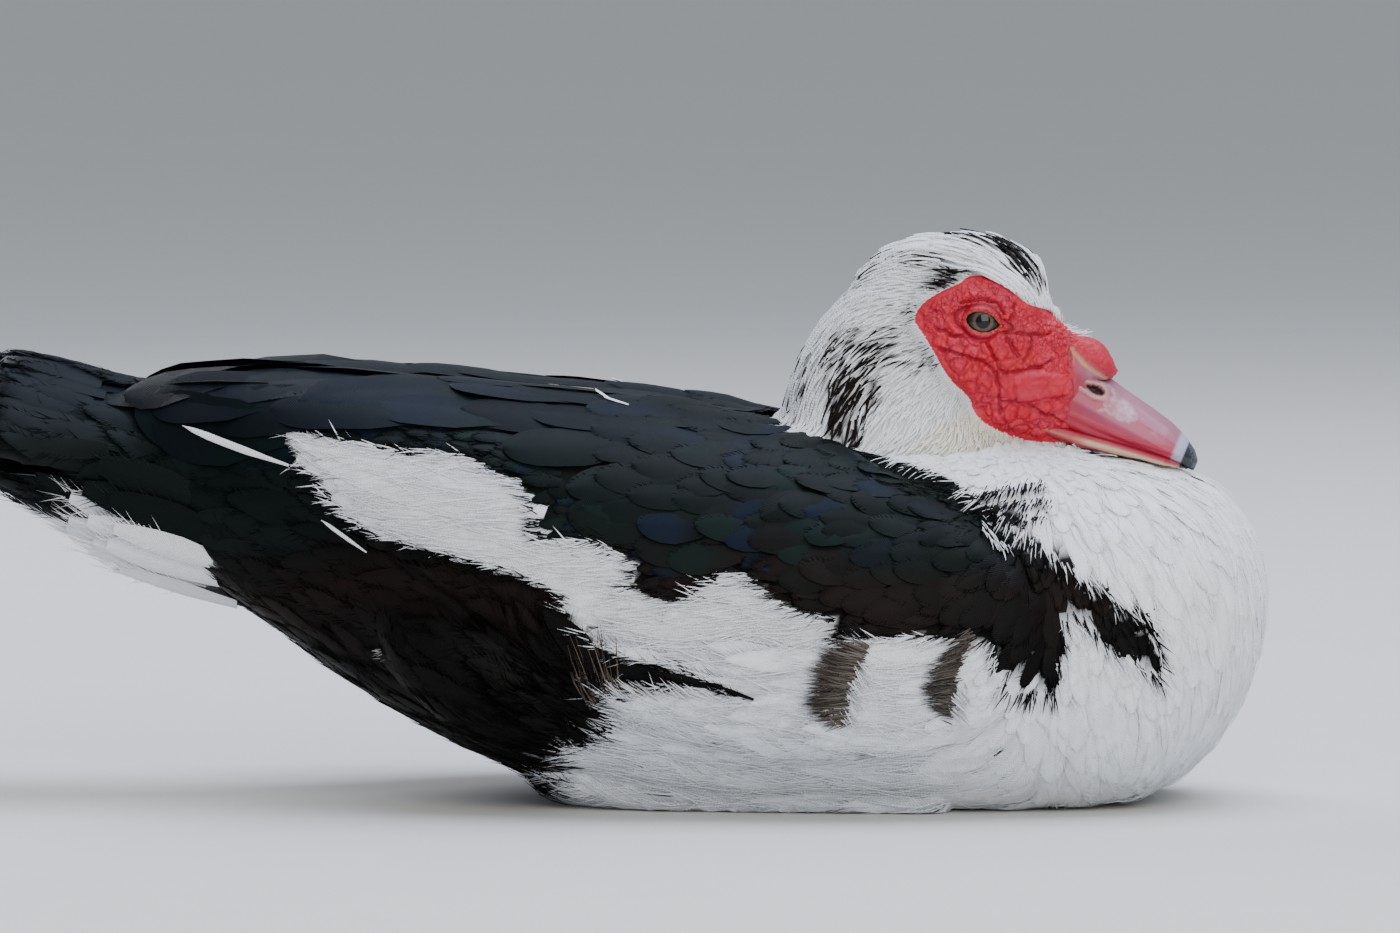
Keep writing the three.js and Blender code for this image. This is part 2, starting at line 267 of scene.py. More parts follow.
def add_node(
    tree: bpy.types.NodeTree, kind: str, links: dict | None = None, **settings: object
) -> bpy.types.Node:
    """Adds a node with its settings and links.

    Args:
        tree: The material's node tree.
        kind: The node's type, without the words that all shader nodes share.
        links: Input name or number to a value, or to the socket or node that feeds it.
        settings: The node's own settings.

    Returns:
        The new node.
    """
    node = tree.nodes.new("ShaderNode" + kind)
    for name, value in settings.items():
        setattr(node, name, value)
    for name, value in (links or {}).items():
        if isinstance(value, bpy.types.Node):
            value = value.outputs[0]
        if isinstance(value, bpy.types.NodeSocket):
            tree.links.new(value, node.inputs[name])
        else:
            node.inputs[name].default_value = value
    return node


def new_material(name: str) -> tuple[bpy.types.Material, Callable[..., bpy.types.Node]]:
    """Makes an empty material.

    Args:
        name: The material's name.

    Returns:
        The material, and the function that adds a node to it.
    """
    material = bpy.data.materials.new(name)
    material.use_nodes = True
    material.node_tree.nodes.clear()
    return material, partial(add_node, material.node_tree)


# Places on the bird, read against the photograph at its real scale

HEAD_AT = np.array([155.0, 0.0, 180.0])
HEAD_PITCH = math.radians(-22)
EYE_PITCH = math.radians(-13)
KNEE = np.array([23.5, 29.0])
TAIL_FLESH_END = -214.0

# Upper outline of the forehead and knob, as x and z
PROFILE = np.array(
    [(182, 199), (187, 189.5), (193, 183), (198, 179), (203, 178), (208, 175.8), (211.5, 172), (214, 165)]
)  # fmt: skip

# Edge of the bare red skin
FACE = Outline(
    [
        (138.0, 184.6), (141.0, 189.9), (147.5, 194.1), (154.7, 197.5), (157.6, 199.7), (161.5, 200.2),
        (165.4, 199.2), (173.7, 194.1), (179.8, 189.5), (187.4, 187.0), (192.0, 183.5), (198.0, 181.0),
        (210.0, 178.0), (216.0, 168.0), (212.0, 158.0), (206.0, 150.0), (202.0, 139.6), (184.4, 138.4),
        (176.8, 139.9), (169.2, 142.8), (163.1, 146.6), (160.0, 150.8), (158.6, 155.0), (152.5, 161.0),
        (149.0, 165.6), (145.2, 172.4), (141.0, 179.3),
    ],
    rounded=True,
    lean=0.6,
)  # fmt: skip

# Deep creases of the face skin
CREASES = [
    [(170.7, 180.0), (175.3, 179.3), (181.3, 179.3), (185.9, 178.2), (189.7, 180.0)],
    [(182.1, 178.5), (181.7, 174.7), (180.6, 170.9), (178.3, 168.6)],
    [(171.5, 179.3), (173.7, 174.7), (176.8, 170.2)],
    [(163.8, 176.2), (166.9, 170.9), (169.2, 165.6), (172.2, 164.1), (178.0, 165.2), (184.4, 166.3),
     (189.0, 168.6)],
    [(146.3, 173.2), (154.0, 171.3), (160.0, 169.4), (164.6, 167.9), (167.7, 164.1)],
    [(168.4, 164.1), (169.2, 158.0), (169.0, 153.4), (169.9, 148.8)],
    [(169.9, 153.4), (176.8, 153.1), (185.9, 154.2), (194.3, 155.0)],
    [(174.5, 159.5), (174.9, 154.2)],
    [(179.8, 152.7), (185.0, 149.0), (192.0, 146.0), (199.6, 143.0)],
    [(156.2, 177.8), (150.9, 178.5), (144.8, 181.6)],
    [(154.7, 190.7), (160.0, 192.2), (167.7, 191.8), (171.5, 186.9)],
    [(175.5, 190.5), (174.0, 185.0), (172.0, 181.0)],
]

# The red line over the upper bill's edge, the cream line at the edge, and the pale ridge round the nostril
TOMIUM = [(180.0, 153.6), (197.3, 146.6), (214.6, 139.2), (235.6, 132.6), (243.0, 130.0)]
EDGE_LINE = [(189.0, 141.8), (209.9, 136.0), (228.6, 130.4), (242.0, 126.4)]
NOSTRIL_RIDGE = [(209.0, 160.8), (212.5, 158.6), (215.0, 153.8), (212.0, 151.0), (207.5, 150.2)]

# Where the horn of the bill runs back below the knob
BILL_ROOT = Outline(
    [(197.8, 172.8), (201.8, 168.4), (206.0, 165.0), (210.0, 162.4), (216, 160), (216, 130), (199, 130),
     (196, 146), (198.6, 158)]
)  # fmt: skip

# Yellowish fold under the knob
KNOB_FOLD = [(197.5, 173.5), (201.8, 168.4), (206.0, 165.0), (210.0, 162.4)]

# Everything white on the side of the body; the rest is black and brown
WHITE = Outline(
    [
        (-107.3, 138.5), (-61.2, 130.0), (-34.2, 128.5), (-11.2, 115.4), (-5.4, 98.1), (15.8, 96.9),
        (31.2, 90.4),
        (28.0, 80.8), (46.5, 74.6), (63.8, 86.0), (71.5, 85.0), (88.8, 73.0), (104.2, 69.2), (106.0, 61.5),
        (131.0, 63.5), (163.8, 62.5), (168.0, 44.0), (187.0, 42.3), (192.7, 71.2), (215.8, 53.8),
        (227.3, 46.2),
        (223.5, 67.3), (208.0, 77.0), (185.0, 92.3), (163.8, 107.7), (146.5, 119.2), (115.8, 129.5),
        (96.5, 135.6),
        (84.0, 140.5), (75.0, 147.0), (60.0, 260.0), (310.0, 260.0), (310.0, -30.0), (0.4, -30.0),
        (4.2, 23.0), (23.5, 28.8),
        (21.5, 42.3), (45.0, 46.0), (73.5, 40.4), (50.4, 49.2), (23.5, 57.7), (2.3, 67.3), (6.2, 76.9),
        (-7.3, 84.6),
        (-34.2, 92.3), (-68.8, 101.9), (-80.4, 109.6), (-95.8, 126.9),
    ],
    lean=1.0,
)  # fmt: skip

# White patch under the tail
VENT_PATCH = Outline(
    [
        (-189, 121), (-178.6, 115.4), (-168, 112.5), (-172.5, 106.5), (-156, 101.4), (-141, 101), (-138, 96),
        (-129, 81), (-126, 60), (-189, 60),
    ],
    lean=1.0,
)  # fmt: skip


@dataclass(frozen=True)
class Spot:
    """A soft elliptical mark in the side view."""

    x: float
    z: float
    long: float
    short: float
    tilt: float = 0.0
    share: float = 1.0

    def weight(self, places: Points, lean: float = 0.0) -> Points:
        """Gives how strongly the mark holds at each place.

        Args:
            places: Places as x, y, z.
            lean: Share of the view's lean that the mark holds.

        Returns:
            The mark's share in its middle, falling to 0 outside it.
        """
        c, s = math.cos(math.radians(self.tilt)), math.sin(math.radians(self.tilt))
        dx, dz = (seen(places, lean) - (self.x, self.z)).T
        reach = np.hypot((dx * c + dz * s) / self.long, (dz * c - dx * s) / self.short)
        return self.share * (1 - step(reach, 0.6, 1.15))


# Black flecks of the head and neck
FLECKS = [
    Spot(112, 150, 10, 22, -12, 0.85),
    Spot(108, 168, 8, 12, -20, 0.45),
    Spot(123, 172, 9, 7, 0, 0.6),
    Spot(92, 165, 8, 18, -12, 0.3),
    Spot(128, 184, 14, 8, 10, 0.18),
    Spot(146, 198, 8, 4.5, 18, 0.9),
    Spot(176, 205, 4, 15, 42, 0.75),
    Spot(160, 213, 12, 2.5, -12, 0.5),
    Spot(115, 200, 22, 4, 48, 0.35),
    Spot(137, 206, 12, 3, 10, 0.3),
    Spot(138, 168, 10, 8, 0, 0.3),
    Spot(210, 70, 7, 6, 0, 0.3),
]


def on_head(places: Points) -> tuple[Points, Points]:
    """Turns places into distances along the head's axis and above it.

    Args:
        places: Places as x, y, z.

    Returns:
        The distance forward along the axis, and the distance above it.
    """
    dx, dz = places[:, 0] - HEAD_AT[0], places[:, 2] - HEAD_AT[2]
    c, s = math.cos(HEAD_PITCH), math.sin(HEAD_PITCH)
    return dx * c + dz * s, dz * c - dx * s


# Meshes


def mesh_from(points: Points, faces: Points, name: str) -> bpy.types.Mesh:
    """Makes a mesh from millimetre points and faces of three or four corners.

    Args:
        points: One point a row.
        faces: One face a row; a last corner of -1 marks a triangle.
        name: The mesh's name.

    Returns:
        The mesh, in metres, smooth shaded.
    """
    corners = np.full(len(faces), 4)
    if faces.shape[1] == 4:
        corners = np.where(faces[:, 3] < 0, 3, 4)
    else:
        corners[:] = 3
    flat = faces.ravel()
    flat = flat[flat >= 0]
    mesh = bpy.data.meshes.new(name)
    mesh.vertices.add(len(points))
    mesh.vertices.foreach_set("co", (points * MM).astype(np.float32).ravel())
    mesh.loops.add(len(flat))
    mesh.loops.foreach_set("vertex_index", flat.astype(np.int32))
    mesh.polygons.add(len(faces))
    mesh.polygons.foreach_set("loop_start", (np.cumsum(corners) - corners).astype(np.int32))
    mesh.polygons.foreach_set("loop_total", corners.astype(np.int32))
    mesh.polygons.foreach_set("use_smooth", np.ones(len(faces), bool))
    mesh.update(calc_edges=True)
    return mesh


def points_of(mesh: bpy.types.Mesh) -> Points:
    """Reads a mesh's points in millimetres."""
    flat = np.empty(len(mesh.vertices) * 3)
    mesh.vertices.foreach_get("co", flat)
    return flat.reshape(-1, 3) / MM


def normals_of(mesh: bpy.types.Mesh) -> Points:
    """Reads a mesh's vertex normals."""
    flat = np.empty(len(mesh.vertices) * 3)
    mesh.vertex_normals.foreach_get("vector", flat)
    return flat.reshape(-1, 3)


def set_points(mesh: bpy.types.Mesh, points: Points) -> None:
    """Writes millimetre points to a mesh."""
    mesh.vertices.foreach_set("co", (points * MM).astype(np.float32).ravel())
    mesh.update()


def set_values(mesh: bpy.types.Mesh, name: str, values: Points) -> None:
    """Stores one number or one colour for each vertex.

    Args:
        mesh: The mesh.
        name: The attribute's name.
        values: Numbers, or rows of red, green and blue.
    """
    if values.ndim == 1:
        layer = mesh.attributes.new(name, "FLOAT", "POINT")
        layer.data.foreach_set("value", values.astype(np.float32))
        return
    layer = mesh.attributes.new(name, "FLOAT_COLOR", "POINT")
    full = np.hstack([values, np.ones((len(values), 1))])
    layer.data.foreach_set("color", full.astype(np.float32).ravel())


def neighbour_mean(mesh: bpy.types.Mesh) -> Callable[[Points], Points]:
    """Gives a function that averages one number for each vertex over its neighbours.

    Args:
        mesh: The mesh.

    Returns:
        The function.
    """
    pairs = np.empty(len(mesh.edges) * 2, np.int32)
    mesh.edges.foreach_get("vertices", pairs)
    a, b = pairs.reshape(-1, 2).T
    total = len(mesh.vertices)
    count = np.maximum(np.bincount(pairs, minlength=total), 1)

    def mean(column: Points) -> Points:
        """Averages the neighbours' numbers."""
        return (np.bincount(a, column[b], total) + np.bincount(b, column[a], total)) / count

    return mean


def relax(mesh: bpy.types.Mesh, rounds: int, keep: float = 0.53, held: Points | None = None) -> None:
    """Smooths a mesh without shrinking it.

    Args:
        mesh: The mesh.
        rounds: How many times to smooth.
        keep: How much of each smoothing is pushed back out; 0 lets it shrink.
        held: How far each vertex may move, from 0 to 1.
    """
    mean = neighbour_mean(mesh)
    points = points_of(mesh)
    free = np.ones((len(points), 1)) if held is None else held[:, None]
    for _ in range(rounds):
        for amount in (0.5, -keep) if keep else (0.5,):
            level = np.stack([mean(points[:, axis]) for axis in range(3)], 1)
            points = points + free * amount * (level - points)
    set_points(mesh, points)


def spread(mesh: bpy.types.Mesh, values: Points, rounds: int) -> Points:
    """Smooths one number for each vertex over a mesh.

    Args:
        mesh: The mesh.
        values: The numbers.
        rounds: How many times to smooth.

    Returns:
        The smoothed numbers.
    """
    mean = neighbour_mean(mesh)
    for _ in range(rounds):
        values = 0.5 * values + 0.5 * mean(values)
    return values


def remeshed(nodes: list[str], grow: float, voxel: float, name: str) -> bpy.types.Mesh:
    """Joins grown copies of some nodes into one even mesh.

    Args:
        nodes: The nodes' names.
        grow: How far each copy is grown, to close the gaps between them.
        voxel: Width of the new mesh's faces.
        name: The new mesh's name.

    Returns:
        The joined mesh.
    """
    joined = bmesh.new()
    for node in nodes:
        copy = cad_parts[node].data.copy()
        whole = bmesh.new()
        whole.from_mesh(copy)
        bmesh.ops.remove_doubles(whole, verts=whole.verts, dist=1e-6)
        if node == "tail":
            # Only the fleshy root of the tail is skin; the rest is feathers
            parts = [*whole.verts, *whole.edges, *whole.faces]
            place = (TAIL_FLESH_END * MM, 0, 0)
            bmesh.ops.bisect_plane(whole, geom=parts, plane_co=place, plane_no=(1, 0, 0), clear_inner=True)
            bmesh.ops.holes_fill(whole, edges=[edge for edge in whole.edges if edge.is_boundary])
        whole.to_mesh(copy)
        whole.free()
        set_points(copy, points_of(copy) + normals_of(copy) * grow)
        joined.from_mesh(copy)
        bpy.data.meshes.remove(copy)
    mesh = bpy.data.meshes.new(name + "_joined")
    joined.to_mesh(mesh)
    joined.free()
    holder = bpy.data.objects.new(name + "_joined", mesh)
    bpy.context.scene.collection.objects.link(holder)
    remesh = holder.modifiers.new("remesh", "REMESH")
    remesh.mode = "VOXEL"
    remesh.voxel_size = voxel * MM
    graph = bpy.context.evaluated_depsgraph_get()
    made = bpy.data.meshes.new_from_object(holder.evaluated_get(graph))
    bpy.data.objects.remove(holder)
    bpy.data.meshes.remove(mesh)
    made.name = name
    return made


def refine(mesh: bpy.types.Mesh, chosen: Callable[[Points], Points]) -> None:
    """Halves the faces of part of a mesh and rounds them.

    Args:
        mesh: The mesh.
        chosen: Tells for each place whether its faces are halved.
    """
    work = bmesh.new()
    work.from_mesh(mesh)
    centres = np.array([face.calc_center_median() for face in work.faces]) / MM
    picked = chosen(centres)
    edges = {edge for face, pick in zip(work.faces, picked) if pick for edge in face.edges}
    bmesh.ops.subdivide_edges(work, edges=list(edges), cuts=1, use_grid_fill=True)
    work.to_mesh(mesh)
    work.free()
    relax(mesh, 2, 0.5, chosen(points_of(mesh)).astype(float))


def show(mesh: bpy.types.Mesh, name: str, slot: str, materials: list, *replaced: str) -> bpy.types.Object:
    """Places a mesh as a piece of the bird.

    Args:
        mesh: The mesh.
        name: The piece's name.
        slot: The record's slot; not used.
        materials: Its materials in order.
        replaced: The nodes that it stands for.

    Returns:
        The piece.
    """
    piece = bpy.data.objects.new(name, mesh)
    bpy.context.scene.collection.objects.link(piece)
    mesh.name = name
    mesh.materials.clear()
    for material in materials:
        mesh.materials.append(material)
    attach(piece, "root")
    if replaced:
        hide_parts(*replaced)
    LOG.info("%s: %d faces", name, len(mesh.polygons))
    return piece


class Surface:
    """A closed surface that places settle on."""

    def __init__(self, mesh: bpy.types.Mesh) -> None:
        """Reads the mesh.

        Args:
            mesh: The mesh to settle on.
        """
        mesh.calc_loop_triangles()
        flat = np.empty(len(mesh.loop_triangles) * 3, np.int32)
        mesh.loop_triangles.foreach_get("vertices", flat)
        self.faces = flat.reshape(-1, 3)
        self.points = points_of(mesh)
        self.normals = normals_of(mesh)
        self.tree = BVHTree.FromPolygons(self.points.tolist(), self.faces.tolist())

    def settle(self, places: Points) -> tuple[Points, Points, Points]:
        """Moves places to the nearest points of the surface.

        Args:
            places: Places near the surface.

        Returns:
            The settled places, the surface's normals there, and the nearest vertex of each.
        """
        hits = [self.tree.find_nearest(place) for place in places.tolist()]
        on = np.array([hit[0] for hit in hits])
        corners = self.faces[[hit[2] for hit in hits]]
        gaps = np.linalg.norm(self.points[corners] - on[:, None, :], axis=2)
        share = 1 / np.maximum(gaps, 1e-3)
        normals = unit((self.normals[corners] * share[..., None]).sum(1))
        return on, normals, corners[np.arange(len(corners)), gaps.argmin(1)]


# Finishes


@dataclass(frozen=True)
class FeatherKeratin:
    """Keratin vanes of barbs hooked together: matt and fibrous, or satin where they are black."""

    name: str
    roughness: float
    specular: float
    sheen: float
    sheen_tint: str
    barb_spacing: float
    barb_slope: float
    barb_depth: float
    # Share of painted shade between the barbs
    stripe: float

    def material(self) -> bpy.types.Material:
        """Builds the material.

        Returns:
            The material.
        """
        material, add = new_material(self.name)
        coat = add("Attribute", attribute_name="coat")
        parts = add("SeparateXYZ", {"Vector": add("UVMap", uv_map="lie")})
        # The barbs leave the shaft slantwise, so a barb is a line of constant (along - slope x across)
        out = add("Math", {0: parts}, operation="ABSOLUTE")
        slant = add("Math", {0: out, 1: -self.barb_slope, 2: parts.outputs["Y"]}, operation="MULTIPLY_ADD")
        place = add("CombineXYZ", {"X": slant, "Y": parts})
        # A wave's bands are 2 pi / 20 of its coordinate apart; real barbs are finer than these
        scale = 0.314 / self.barb_spacing
        wave = add("TexWave", {"Vector": place, "Scale": scale, "Distortion": 0.6, "Detail": 1.0})
        barbs = wave.outputs["Fac"]
        patchy = add("TexNoise", {"Vector": place, "Scale": 0.35, "Detail": 3.0})
        # Painted shade in the troughs between the barbs and a little painted light on their crests, then
        # random tone
        shade = add("MapRange", {"Value": barbs, "To Min": 1 - self.stripe, "To Max": 1 + 0.3 * self.stripe})
        span = {"Value": patchy, "From Min": 0.3, "From Max": 0.7, "To Min": 0.94, "To Max": 1.04}
        soft = add("MapRange", span)
        both = add("Math", {0: shade, 1: soft}, operation="MULTIPLY")
        colour = add("VectorMath", {0: coat, "Scale": both}, operation="SCALE")
        bump = add("Bump", {"Height": barbs, "Strength": self.barb_depth, "Distance": 0.0003})
        low, high = self.roughness - 0.08, self.roughness + 0.08
        rough = add("MapRange", {"Value": patchy, "To Min": low, "To Max": high})
        shader = add("BsdfPrincipled", {
            "Base Color": colour, "Roughness": rough, "Normal": bump, "Specular IOR Level": self.specular,
            "IOR": 1.54, "Sheen Weight": self.sheen, "Sheen Roughness": 0.5,
            "Sheen Tint": rgba(self.sheen_tint),
        })  # fmt: skip
        add("OutputMaterial", {"Surface": shader})
        return material


@dataclass(frozen=True)
class FaceSkin:
    """Bare, blood-red, swollen skin: waxy highlights on the cells, partly painted, and painted shade of dark
    blood-red in the cracks and creases.
    """

    # Colours of the painted shade in the cracks and creases, and of the painted highlights
    crease: str = "#520816"
    high: str = "#c8465a"

    def material(self) -> bpy.types.Material:
        """Builds the material.

        Returns:
            The material.
        """
        material, add = new_material("bare_face_skin")
        deep = add("Attribute", attribute_name="crease").outputs["Fac"]
        flush = add("Attribute", attribute_name="coat")
        place = add("TexCoord").outputs["Object"]
        grain = add("TexNoise", {"Vector": place, "Scale": 900.0, "Detail": 3.0})
        # Painted highlights: soft random patches of lighter pink
        mottle = add("TexNoise", {"Vector": place, "Scale": 160.0, "Detail": 4.0})
        share = add("MapRange", {"Value": mottle, "From Min": 0.45, "From Max": 0.8, "To Max": 0.22})
        warm = add("Mix", {"Factor": share, "A": flush, "B": rgba(self.high)}, data_type="RGBA")
        # A net of thin cracks, about 2.4 mm apart, strongest behind and above the eye, dented by a bump and
        # darkened with painted shade
        wrinkle = add("Attribute", attribute_name="wrinkle").outputs["Fac"]
        wander = add("TexNoise", {"Vector": place, "Scale": 260.0, "Detail": 2.0}).outputs["Color"]
        bent = add("VectorMath", {0: wander, 1: (0.0014, 0.0014, 0.0014), 2: place}, operation="MULTIPLY_ADD")
        cells = add("TexVoronoi", {"Vector": bent, "Scale": 410.0}, feature="DISTANCE_TO_EDGE")
        line = add("MapRange", {"Value": cells, "From Max": 0.12, "To Min": 1.0, "To Max": 0.0})
        crack = add("Math", {0: line, 1: wrinkle}, operation="MULTIPLY")
        # Painted shade: the cracks and the mesh's creases take the dark crease colour
        both = add("Math", {0: crack, 1: deep}, operation="MAXIMUM")
        links = {"Factor": both, "A": warm.outputs["Result"], "B": rgba(self.crease)}
        dark = add("Mix", links, data_type="RGBA").outputs["Result"]
        dent = add("Bump", {"Height": crack, "Strength": 0.35, "Distance": 0.0005}, invert=True)
        # Pores and fine wrinkles, about 0.6 mm apart
        pores = add("TexVoronoi", {"Vector": place, "Scale": 1300.0}, feature="DISTANCE_TO_EDGE")
        height = add("Math", {0: pores, 1: 0.5, 2: grain}, operation="MULTIPLY_ADD")
        bump = add("Bump", {"Height": height, "Strength": 0.35, "Distance": 0.0003, "Normal": dent})
        span = {"Value": grain, "From Min": 0.3, "From Max": 0.7, "To Min": 0.46, "To Max": 0.62}
        rough = add("MapRange", span)
        shader = add("BsdfPrincipled", {
            "Base Color": dark, "Roughness": rough, "Normal": bump, "Specular IOR Level": 0.38,
            "Subsurface Weight": 0.06, "Subsurface Radius": (0.004, 0.0015, 0.001), "Subsurface Scale": 0.4,
        })  # fmt: skip
        add("OutputMaterial", {"Surface": shader})
        return material


@dataclass(frozen=True)
class BillHorn:
    """Thin living horn over bone: satin, with a chalky bloom where it is worn."""

    name: str = "bill_horn"
    roughness: float = 0.36

    def material(self) -> bpy.types.Material:
        """Builds the material.

        Returns:
            The material.
        """
        material, add = new_material(self.name)
        coat = add("Attribute", attribute_name="coat")
        bloom = add("Attribute", attribute_name="crease").outputs["Fac"]
        place = add("TexCoord").outputs["Object"]
        # Scuffs about 1 mm across, and growth lines finer than that
        scuffs = add("TexNoise", {"Vector": place, "Scale": 420.0, "Detail": 5.0})
        fine = add("TexNoise", {"Vector": place, "Scale": 1500.0, "Detail": 3.0})
        worn = add("Math", {0: scuffs, 1: bloom}, operation="ADD")
        share = add("MapRange", {"Value": worn, "From Min": 0.75, "From Max": 1.35, "To Max": 0.62})
        chalk = add("Mix", {"Factor": share, "A": coat, "B": rgba("#dcd3dc")}, data_type="RGBA")
        rough = add("MapRange", {"Value": share, "To Min": self.roughness, "To Max": self.roughness + 0.3})
        bump = add("Bump", {"Height": fine, "Strength": 0.18, "Distance": 0.0003})
        shader = add("BsdfPrincipled", {
            "Base Color": chalk.outputs["Result"], "Roughness": rough, "Normal": bump,
            "Specular IOR Level": 0.5,
            "IOR": 1.54, "Subsurface Weight": 0.08, "Subsurface Radius": (0.004, 0.002, 0.0015),
            "Subsurface Scale": 0.3,
        })  # fmt: skip
        add("OutputMaterial", {"Surface": shader})
        return material


@dataclass(frozen=True)
class Grained:
    """A surface broken by fine grain, in the mesh's own colours or between two shades."""

    name: str
    roughness: float
    grain: float
    bump: float
    film: float = 0.0
    specular: float = 0.5
    shades: tuple[str, ...] = ()

    def material(self) -> bpy.types.Material:
        """Builds the material.

        Returns:
            The material.
        """
        material, add = new_material(self.name)
        place = add("TexCoord").outputs["Object"]
        noise = add("TexNoise", {"Vector": place, "Scale": 1 / (self.grain * MM), "Detail": 4.0})
        if self.shades:
            first, second = (rgba(shade) for shade in self.shades)
            links = {"Factor": noise, "A": first, "B": second}
            colour = add("Mix", links, data_type="RGBA").outputs["Result"]
        else:
            colour = add("Attribute", attribute_name="coat")
        bump = add("Bump", {"Height": noise, "Strength": self.bump, "Distance": 0.0003})
        shader = add("BsdfPrincipled", {
            "Base Color": colour, "Roughness": self.roughness, "Specular IOR Level": self.specular,
            "Normal": bump, "Coat Weight": self.film, "Coat Roughness": 0.02,
        })  # fmt: skip
        add("OutputMaterial", {"Surface": shader})
        return material


# Markings


@dataclass
class Markings:
    """Colours of the coat and the skin under it, from a few outlines and spots."""

    white: str = "#f1f3f5"
    cream: str = "#efe6c4"
    # Bluish grey of the painted shade low on the white underside
    shade: str = "#d5dbe6"
    black: str = "#0b0908"
    green: str = "#0a1210"
    blue: str = "#0a111a"
    brown: str = "#170f0c"
    rng: np.random.Generator = field(default_factory=lambda: np.random.default_rng(SEED))

    def is_white(self, places: Points) -> Points:
        """Tells where the coat is white, with no flecks.

        Args:
            places: Places as x, y, z.

        Returns:
            True for each white place.
        """
        return self.depth(places) > 0

    def depth(self, places: Points) -> Points:
        """Measures how deep each place lies in the white, in millimetres, or below zero in the dark."""
        return np.maximum(WHITE.inside(places), VENT_PATCH.inside(places))

    def flecked(self, places: Points) -> Points:
        """Picks the tufts of the head, neck and breast that are black.

        Args:
            places: Root of each tuft.

        Returns:
            True for each black tuft.
        """
        chance = np.zeros(len(places))
        for spot in FLECKS:
            chance = np.maximum(chance, spot.weight(places, 1.0))
        # Flecks come in clumps of a few tufts
        clump = 0.5 + 0.5 * waver(places * np.array([1, 1, 0.7]), 9.0, 5)[:, 0]
        return self.rng.random(len(places)) < chance * (0.55 + 0.9 * clump)

    def white_tint(self, places: Points) -> Points:
        """Gives the tint of white feathers, cream at the throat, with painted shade low on the body.

        Args:
            places: Places as x, y, z.

        Returns:
            Linear colours.
        """
        white, cream, shade = (to_linear(c) for c in (self.white, self.cream, self.shade))
        yellow = Spot(164, 143, 30, 9, 16, 0.5).weight(places)[:, None]
        # Painted shade: the white turns bluish grey towards the bottom of the body, where the underside is in
        # shade
        low = (0.6 * (1 - step(places[:, 2], 0, 90)))[:, None]
        tint = white + (cream - white) * yellow
        return tint + (shade - tint) * low

    def dark_tint(self, places: Points) -> Points:
        """Gives the tint of dark feathers: green and blue on the back, brown low down and at the rear.

        Args:
            places: Places as x, y, z.

        Returns:
            Linear colours.
        """
        black, green, blue, brown = (to_linear(c) for c in (self.black, self.green, self.blue, self.brown))
        drift = waver(places, 70.0, 9)
        high = step(places[:, 2] + 10 * drift[:, 0], 84, 112)[:, None]
        top = step(places[:, 2] + 12 * drift[:, 1], 128, 165)[:, None]
        rusty = (0.75 * (1 - high) * step(drift[:, 2] + 0.1 * (places[:, 2] - 75), -0.6, 0.6)[:, None])
        tint = black + (brown - black) * rusty
        tint = tint + (green - tint) * high
        return tint + (blue - tint) * 0.8 * top

    def vary(self, tint: Points, amount: float) -> Points:
        """Makes each row a little lighter or darker.

        Args:
            tint: Linear colours.
            amount: Largest share of change.

        Returns:
            The changed colours.
        """
        change = 1 + amount * self.rng.uniform(-1, 1, (len(tint), 1))
        return np.clip(tint * change, 0, 1)


# Skin


